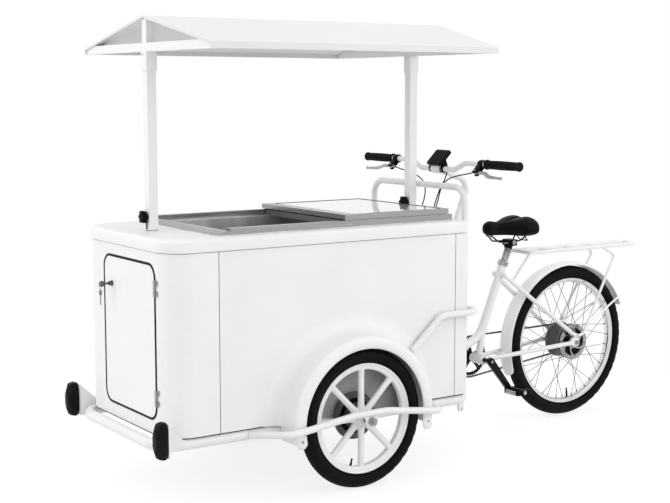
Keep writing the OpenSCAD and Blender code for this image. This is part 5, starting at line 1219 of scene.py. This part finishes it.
# %% Door gasket and hinges
DOOR_MID = Vector((41.0, -1231.0, 584.5))
HINGE_X, HINGE_Y, HINGE_FEET = 248.5, -1236.0, (367.0, 746.0)
# The gasket is wider than the seal; its outer part is painted shade of the gap round the door.
bm = bmesh.new()
pierced(bm, [rounded(415.0, 545.0, 50.0, 16), rounded(400.0, 530.0, 42.5, 16)], DOOR_MID + Vector((0, -0.3, 0)),
        X, Z, 3.4)
piece("door_gasket_and_gap_shade", bm, "door", gasket_rubber, ["door_seal"], bevel=0.8)
for body, name, spans, way, leaf_y in (("cargo_box", "hinge_leaves", ((0.0, 18.7), (37.3, 56.0)), 1, -1230.5),
                                       ("door", "hinge_middles", ((19.0, 37.0),), -1, -1231.5)):
    bm = bmesh.new()
    for foot in HINGE_FEET:
        for low, high in spans:
            lathe(bm, [(2.2, low), (4.4, low), (4.4, high), (2.2, high)], (HINGE_X, HINGE_Y, foot), Z, 24)
            plate(bm, [(0, low), (way * 8.0, low), (way * 8.0, high), (0, high)], (HINGE_X, leaf_y, foot), X, Z,
                  way * 2.9)
    piece(name, bm, body, hinge_plate, bevel=0.4)
print("gasket and hinges made")

# %% [markdown]
# ## Rear mudguard
# The mudguard is a long strip of sheet with a round crown and rolled edges, and its ends are cut round. Turning
# one section would leave square ends, so the strip is woven from rows instead: each row across it is as wide as
# the rounded outline is there.

# %% Mudguard sheet
GUARD_HALF, GUARD_R, GUARD_EDGE_R, GUARD_FROM, GUARD_TO = 34.5, 352.0, 343.8, 22.0, 200.0
ROWS, ACROSS = 150, 20
TAIL, BRIDGE = 30.0, 183.34


def strip_half(angle):
    """Half the mudguard's width at an angle, less near its two ends."""
    near = min(angle - GUARD_FROM, GUARD_TO - angle) / 4.4
    share = 1 if near >= 1 else 0.42 + 0.58 * math.sqrt(max(0.0, 1 - (1 - near) ** 2))
    return GUARD_HALF * share


bm = bmesh.new()
angles = [GUARD_FROM + (GUARD_TO - GUARD_FROM) * i / ROWS for i in range(ROWS + 1)]
shares = [-1 + 2 * k / ACROSS for k in range(ACROSS + 1)]
rows = []
for angle in angles:
    half = strip_half(angle)
    top = [(GUARD_R + 2.0 - 10.0 * abs(u * half / GUARD_HALF) ** 2.3, u * half) for u in shares]
    low = [(r - 2.0 - (1.2 if abs(u) > 0.97 else 0.0), x) for u, (r, x) in zip(shares, top)]
    rows.append([bm.verts.new(wheel_point(r, angle, x)) for r, x in top + low[::-1]])
for here, there in zip(rows, rows[1:]):
    for k in range(len(here)):
        m = (k + 1) % len(here)
        bm.faces.new((here[k], there[k], there[m], here[m]))
bm.faces.new(rows[0])
bm.faces.new(rows[-1][::-1])
print("mudguard rows:", len(rows))

# %% Rolled edges, stays and flap
tail_at, tail_up, tail_out = wheel_point(353.0, TAIL, 0), out_at(TAIL + 90), out_at(TAIL)
for s in BOTH:
    rolled = [wheel_point(GUARD_EDGE_R + 10.0 * (1 - (strip_half(a) / GUARD_HALF) ** 2.3), a, s * strip_half(a))
              for a in angles[2:-2]]
    sweep(bm, rolled, 1.9, 8)
    sweep(bm, [(s * 33, 1201.5, 505.5), (s * 81.2, 969.3, 406.8)], 4.5, 16)
plate(bm, rounded(48, 78, 8), tail_at, X, tail_up, 3.0)
bridge_out = out_at(BRIDGE)
plate(bm, slab(20, 12), rear_hub + bridge_out * 352.6, X, bridge_out.cross(X), 17.4)
# The sheet wears the paler guard paint: painted light against the box's shade.
piece("mudguard_sheet", bm, "rear_cycle", guard_paint_painted_light, ["rear_mudguard"])
bolt_set("mudguard_bolts", "rear_cycle", [bolt for s in BOTH for bolt in (
    ((s * 33, 1203.0, 508.4), tail_out, 8.0, 3.0),
    (tail_at + X * s * 14 + tail_out * 3.0 + tail_up * 26, tail_out, 7.0, 2.6))])
print("mudguard made:", made[-2:])

# %% [markdown]
# ## Seat post and saddle frame
# The post is chromed tube with two rings cut near its head, held by an alloy collar with a bolt across it. The
# head clamps two steel wires that carry the saddle. The wires come together at the nose and spread at the back,
# where a spring loop hangs below the pad.

# %% Post and clamp head
SEAT_DIR = Vector((0, 0.3796, 0.9252)).normalized()
SEAT_TOP = Vector((0, 539.5, 712.0))
SADDLE_AT = SEAT_TOP + SEAT_DIR * 86.0
bm = bmesh.new()
lathe(bm, [(10.5, -175.0), (13.4, -175.0), (13.4, 46.0), (12.7, 46.6), (12.7, 48.2), (13.4, 48.8), (13.4, 53.0),
           (12.7, 53.6), (12.7, 55.2), (13.4, 55.8), (13.4, 64.0), (0.0, 64.0), (0.0, 56.0), (10.5, 56.0)],
      SEAT_TOP, SEAT_DIR, 48)
piece("chrome_post", bm, "seat", bright_chrome, ["seat_post"])
bm = bmesh.new()
for level in (47.4, 54.4):
    lathe(bm, [(12.6, -0.8), (13.1, -0.8), (13.1, 0.8), (12.6, 0.8)], SEAT_TOP + SEAT_DIR * level, SEAT_DIR, 48)
lathe(bm, [(0, -26.0), (16.4, -26.0), (18.0, -24.0), (18.0, -8.0), (15.0, -2.0), (0, -2.0)], SADDLE_AT, SEAT_DIR, 40)
for z in (-11.0, 3.2):
    plate(bm, rounded(58, 40, 6), SADDLE_AT + Vector((0, 1.6, z)), X, Y, 12.0)
piece("clamp_head", bm, "seat", satin_black, bevel=1.6)
print("post made:", made[-2:])

# %% Saddle wires, bolts and collar
SADDLE_LENGTH = 272.0
SADDLE_FRONT = SADDLE_AT.y - 0.56 * SADDLE_LENGTH
rail = [(13.0, 34, 829.0), (14.5, 48, 822.0), (19.0, 68, 806.0), (22.0, 86, 800.2), (22.0, 138, 799.6),
        (22.0, 184, 800.2), (26.0, 198, 806.0), (31.0, 212, 818.0), (35.0, 226, 829.0)]
hook = [(-24, 214, 822), (-24, 226, 806), (-20, 236, 799), (0, 240, 797.5), (20, 236, 799), (24, 226, 806),
        (24, 214, 822)]
wires = bmesh.new()
for s in BOTH:
    sweep(wires, smooth_line([(s * x, SADDLE_FRONT + y, z) for x, y, z in rail], 5), 3.4, 12)
sweep(wires, smooth_line([(x, SADDLE_FRONT + y, z) for x, y, z in hook], 6), 2.6, 12)
piece("saddle_wires", wires, "seat", crank_black)
bm = bmesh.new()
for s in BOTH:
    hex_bolt(bm, SADDLE_AT + Vector((s * 29.0, 1.6, 2.6)), X * s, 11.0, 5.0)
lathe(bm, [(0, -14), (4.0, -14), (4.0, 14), (0, 14)], SADDLE_AT + Vector((0, -19.4, 1.0)), X, 20)
piece("clamp_bolts", bm, "seat", zinc_plate)
bm = bmesh.new()
lathe(bm, [(13.7, -19.0), (20.4, -19.0), (22.0, -17.4), (22.0, 3.0), (20.4, 4.6), (13.7, 4.6)], SEAT_TOP, SEAT_DIR,
      48)
across_collar = SEAT_TOP + SEAT_DIR * -7.0
for s in BOTH:
    hex_bolt(bm, across_collar + X * s * 23.0, X * s, 10.0, 6.0)
    lathe(bm, [(0, 18.5), (8.0, 18.5), (8.0, 24.0), (0, 24.0)], across_collar, X * s, 24)
piece("post_collar", bm, "rear_cycle", lever_alloy)
print("saddle frame made:", made[-3:])

# %% [markdown]
# ## Saddle
# The saddle is a thick foam pad in black cover with a narrow nose, a channel along the middle, two lobes at the
# back and sides that hang below the base. Its shape is laid out in rings along the length, a little small, and
# cloth simulation with air pressure then swells it, so that the cover looks stretched over foam and not turned.

# %% Saddle form
SEAT_Z = SADDLE_AT.z + 42.0
SLICES, AROUND, UNDERSIZE = 44, 48, 2.5


def ease(t):
    """Runs smoothly from 0 to 1."""
    t = max(0.0, min(1.0, t))
    return t * t * (3 - 2 * t)


def saddle_end(t):
    """How far the pad has closed at its round nose and its round back."""
    nose = math.sqrt(max(0.012, 1 - max(0.0, (0.13 - t) / 0.13) ** 2.4))
    return nose * math.sqrt(max(0.012, 1 - max(0.0, (t - 0.80) / 0.20) ** 2.2))


def saddle_point(t, a, shrink):
    """A point of the pad at a share of its length and an angle round it."""
    c, s = math.cos(a), math.sin(a)
    width = 33.0 + 74.0 * ease((t - 0.20) / 0.5) - shrink
    x = width * saddle_end(t) * math.copysign(abs(c) ** 0.72, c)
    middle = 24.0 - 8.0 * ease((t - 0.2) / 0.5)
    crown = 55.0 + 11.0 * ease((t - 0.40) / 0.42) - shrink
    base = -3.0 - 16.0 * ease((t - 0.1) / 0.5) * min(1.0, abs(x) / 107.0) ** 1.6 + shrink
    reach = (crown - middle) if s >= 0 else (middle - base)
    z = middle + reach * saddle_end(t) ** 0.7 * math.copysign(abs(s) ** 0.74, s)
    return Vector((x, SADDLE_FRONT + shrink + t * (SADDLE_LENGTH - 2 * shrink), SEAT_Z + z))


bm = bmesh.new()
rings = [[bm.verts.new(saddle_point(i / SLICES, 2 * math.pi * k / AROUND, UNDERSIZE) * MM) for k in range(AROUND)]
         for i in range(SLICES + 1)]
skin(bm, rings)
bm.faces.new(rings[0][::-1])
bm.faces.new(rings[-1])
bmesh.ops.recalc_face_normals(bm, faces=bm.faces)
pad_mesh = bpy.data.meshes.new("saddle_pad")
bm.to_mesh(pad_mesh)
bm.free()
saddle_pad = add_object("saddle_pad", pad_mesh)
print("saddle rings:", len(rings))

# %% Swelling the pad
MOST_SWELL = 0.005


def settle(thing):
    """Puts the evaluated mesh of an object into it and clears its modifiers."""
    graph = bpy.context.evaluated_depsgraph_get()
    mesh = bpy.data.meshes.new_from_object(thing.evaluated_get(graph))
    thing.modifiers.clear()
    thing.data = mesh


remesh = saddle_pad.modifiers.new("skin", "REMESH")
remesh.mode = "VOXEL"
remesh.voxel_size = 0.005
settle(saddle_pad)
before = [v.co.copy() for v in saddle_pad.data.vertices]
cloth = saddle_pad.modifiers.new("air", "CLOTH")
cloth.settings.use_pressure = True
cloth.settings.uniform_pressure_force = 4.0
cloth.settings.effector_weights.gravity = 0.0
cloth.settings.quality = 6
cloth.collision_settings.use_self_collision = False
for step in range(1, 21):
    scene.frame_set(step)
settle(saddle_pad)
scene.frame_set(1)
for vertex, start in zip(saddle_pad.data.vertices, before):
    move = vertex.co - start
    vertex.co = start + move * min(1.0, MOST_SWELL / max(move.length, 1e-9))
print("saddle vertices:", len(saddle_pad.data.vertices))

# %% Channel, lobes and smoothing
for vertex in saddle_pad.data.vertices:
    x, t = vertex.co.x * 1000, (vertex.co.y * 1000 - SADDLE_FRONT) / SADDLE_LENGTH
    if vertex.co.z * 1000 > SEAT_Z + 20:
        dip = 13.0 * math.exp(-(x / 15.0) ** 2) * ease((t - 0.12) / 0.3)
        lobe = 5.0 * math.exp(-((abs(x) - 52.0) / 30.0) ** 2 - ((t - 0.74) / 0.2) ** 2)
        vertex.co.z += (lobe - dip) * MM
    notch = ease((t - 0.86) / 0.14) * math.exp(-(x / 22.0) ** 2)
    vertex.co.y -= 0.016 * notch
soften = saddle_pad.modifiers.new("soften", "SMOOTH")
soften.factor = 0.5
soften.iterations = 4
finer = saddle_pad.modifiers.new("finer", "SUBSURF")
finer.levels = 1
finer.render_levels = 1
settle(saddle_pad)
saddle_pad.data.materials.clear()
saddle_pad.data.materials.append(seat_vinyl)
saddle_pad.data.shade_smooth()
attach(saddle_pad, "seat")
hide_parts("saddle")
made.append("saddle_pad")
print("saddle faces:", len(saddle_pad.data.polygons))

# %% [markdown]
# ## Welds and small hardware
# What makes a frame look built is at its joints: beads of weld, caps on the axles, nuts with washers. Each sits
# where two solids already meet. They are swept or turned like everything else, only small.

# %% Weld beads
bm = bmesh.new()
weld(bm, (0, 189.0, 346.4), (0, 0.986, 0.167), 18.2, 2.2)
weld(bm, (0, 411.4, 327.0), (0, 0.174, 0.985), 15.0, 2.0)
weld(bm, (0, 430.6, 436.0), (0, 0.174, 0.985), 15.6, 2.0)
for s in BOTH:
    weld(bm, (s * 37.5, 436.0, 306.3), (s * 0.0903, 0.9940, 0.0620), 10.0, 1.6)
    weld(bm, (s * 74.6, 868.0, 333.3), (s * 0.0903, 0.9940, 0.0620), 10.0, 1.6)
    weld(bm, (s * 72.9, 869.0, 386.0), (s * 0.0899, 0.7833, -0.6151), 10.0, 1.6)
    weld(bm, (s * 18.6, SEAT_TOP.y - 22.0, SEAT_TOP.z - 53.7), X, 9.2, 1.6)
piece("frame_welds", bm, "rear_cycle", tube_paint)
bm = bmesh.new()
for s in BOTH:
    for z in (823.0, 878.0):
        weld(bm, (s * 300, BOX_BACK + 1.0, z), Y, 8.6, 1.6)
    for y, z in ((-215.4, 476.2), (-35.5, 588.0)):
        weld(bm, (s * 346.2, y, z), X, 9.6, 1.7)
piece("box_welds", bm, "cargo_box", tube_paint)
print("welds made:", made[-2:])

# %% Lid seal and hubs
cap_profile = [(0, 0), (16.0, 0), (16.0, 1.6), (14.6, 1.8), (14.6, 11.6), (13.2, 12.8), (8.8, 13.0), (8.8, 17.2),
               (7.6, 18.2), (0, 18.4)]
bm = bmesh.new()
pierced(bm, [[(-277.4, -439.9), (277.4, -439.9), (277.4, -22.1), (-277.4, -22.1)],
             [(-274.6, -437.1), (274.6, -437.1), (274.6, -24.9), (-274.6, -24.9)]], (0, 0, 989.0), X, Y, 0.8)
piece("lid_seal", bm, "upper_lid", gasket_rubber)
caps, mouths, nuts = bmesh.new(), bmesh.new(), bmesh.new()
for s in BOTH:
    lathe(caps, cap_profile, front_hub(s * 477.0), X * s, 48)
    lathe(mouths, [(48.7, 0), (66.0, 0), (66.0, 1.0), (48.7, 1.0)], front_hub(s * 368.05), X * s, 72)
    hex_bolt(nuts, (s * 79.0, REAR_AXLE - 22.0, REAR_R + 30.0), X * s, 8.0, 4.0)
piece("axle_caps", caps, "cargo_box", zinc_plate)
piece("drum_mouths", mouths, "cargo_box", satin_black)
piece("dropout_bolts", nuts, "rear_cycle", zinc_plate)
print("hardware made:", made[-4:])

# %% [markdown]
# ## Finishes for the solids that stay
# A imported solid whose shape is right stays, and only its finish changes. The table gives each finish and the
# nodes that wear it. A node that a piece stands for keeps a finish too, so nothing is left plain.

# %% Dressing the solids
dressed = {
    tube_paint: ["chassis_frame", "wheel_guards", "side_rail", "push_bar", "handlebar_riser", "handlebar",
                 "rear_frame", "rear_rack", "front_rim_left", "front_rim_right"],
    guard_paint_painted_light: ["rear_mudguard"],
    # The canopy posts and frame are white tube but wear the paler shell paint, not tube paint: painted light on
    # their shaded sides.
    shell_paint: ["front_shell", "door_panel", "front_fenders", "canopy_posts", "canopy_frame"],
    panel_paint: ["side_panels", "rear_panel", "floor_panel"],
    deck_paint: ["top_cap"],
    roof_paint: ["canopy_roof"],
    rail_steel: ["steel_frame"],
    cross_steel: ["lid_frame", "lower_lid"],
    well_steel_and_painted_sheen: ["steel_well"],
    foam_yellow: ["insulation"],
    lid_gloss: ["lid_panel"],
    satin_black: ["battery_pack", "lever_mounts", "display", "front_knob", "rear_knob", "pedal_left", "pedal_right"],
    drum_grey: ["cooling_unit", "front_axles"],
    zinc_plate: ["steering_pin", "rear_axle", "post_sockets"],
    lock_nickel: ["door_lock", "door_key"],
    hinge_plate: ["door_hinges"],
    spoke_wire: ["wire_spokes_set"],
    gasket_rubber: ["door_seal"],
    buffer_rubber: ["bumper_pads"],
    grip_rubber: ["grips"],
    cable_jacket: ["control_cables"],
    tyre_rubber: ["front_tyre_left", "front_tyre_right", "rear_tyre"],
    rim_alloy: ["rear_rim"],
    cast_grey: ["hub_motor"],
    rotor_steel: ["rear_rotor"],
    chain_steel: ["sprocket", "drive_chain"],
    crank_black: ["crankset"],
    lever_alloy: ["lever_left", "lever_right"],
    bright_chrome: ["seat_post"],
    seat_vinyl: ["saddle"],
}
for material, names in dressed.items():
    for name in names:
        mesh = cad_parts[name].data
        mesh.materials.clear()
        mesh.materials.append(material)
count = sum(len(names) for names in dressed.values())
print("solids dressed:", count, "of", len(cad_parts), "pieces made:", len(made))

# %% [markdown]
# ## Size
# The dressed model must stay in the box of its solids. The box of the dressed model is found over
# every shown object but the floor.

# %% Box of the dressed model
low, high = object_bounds()
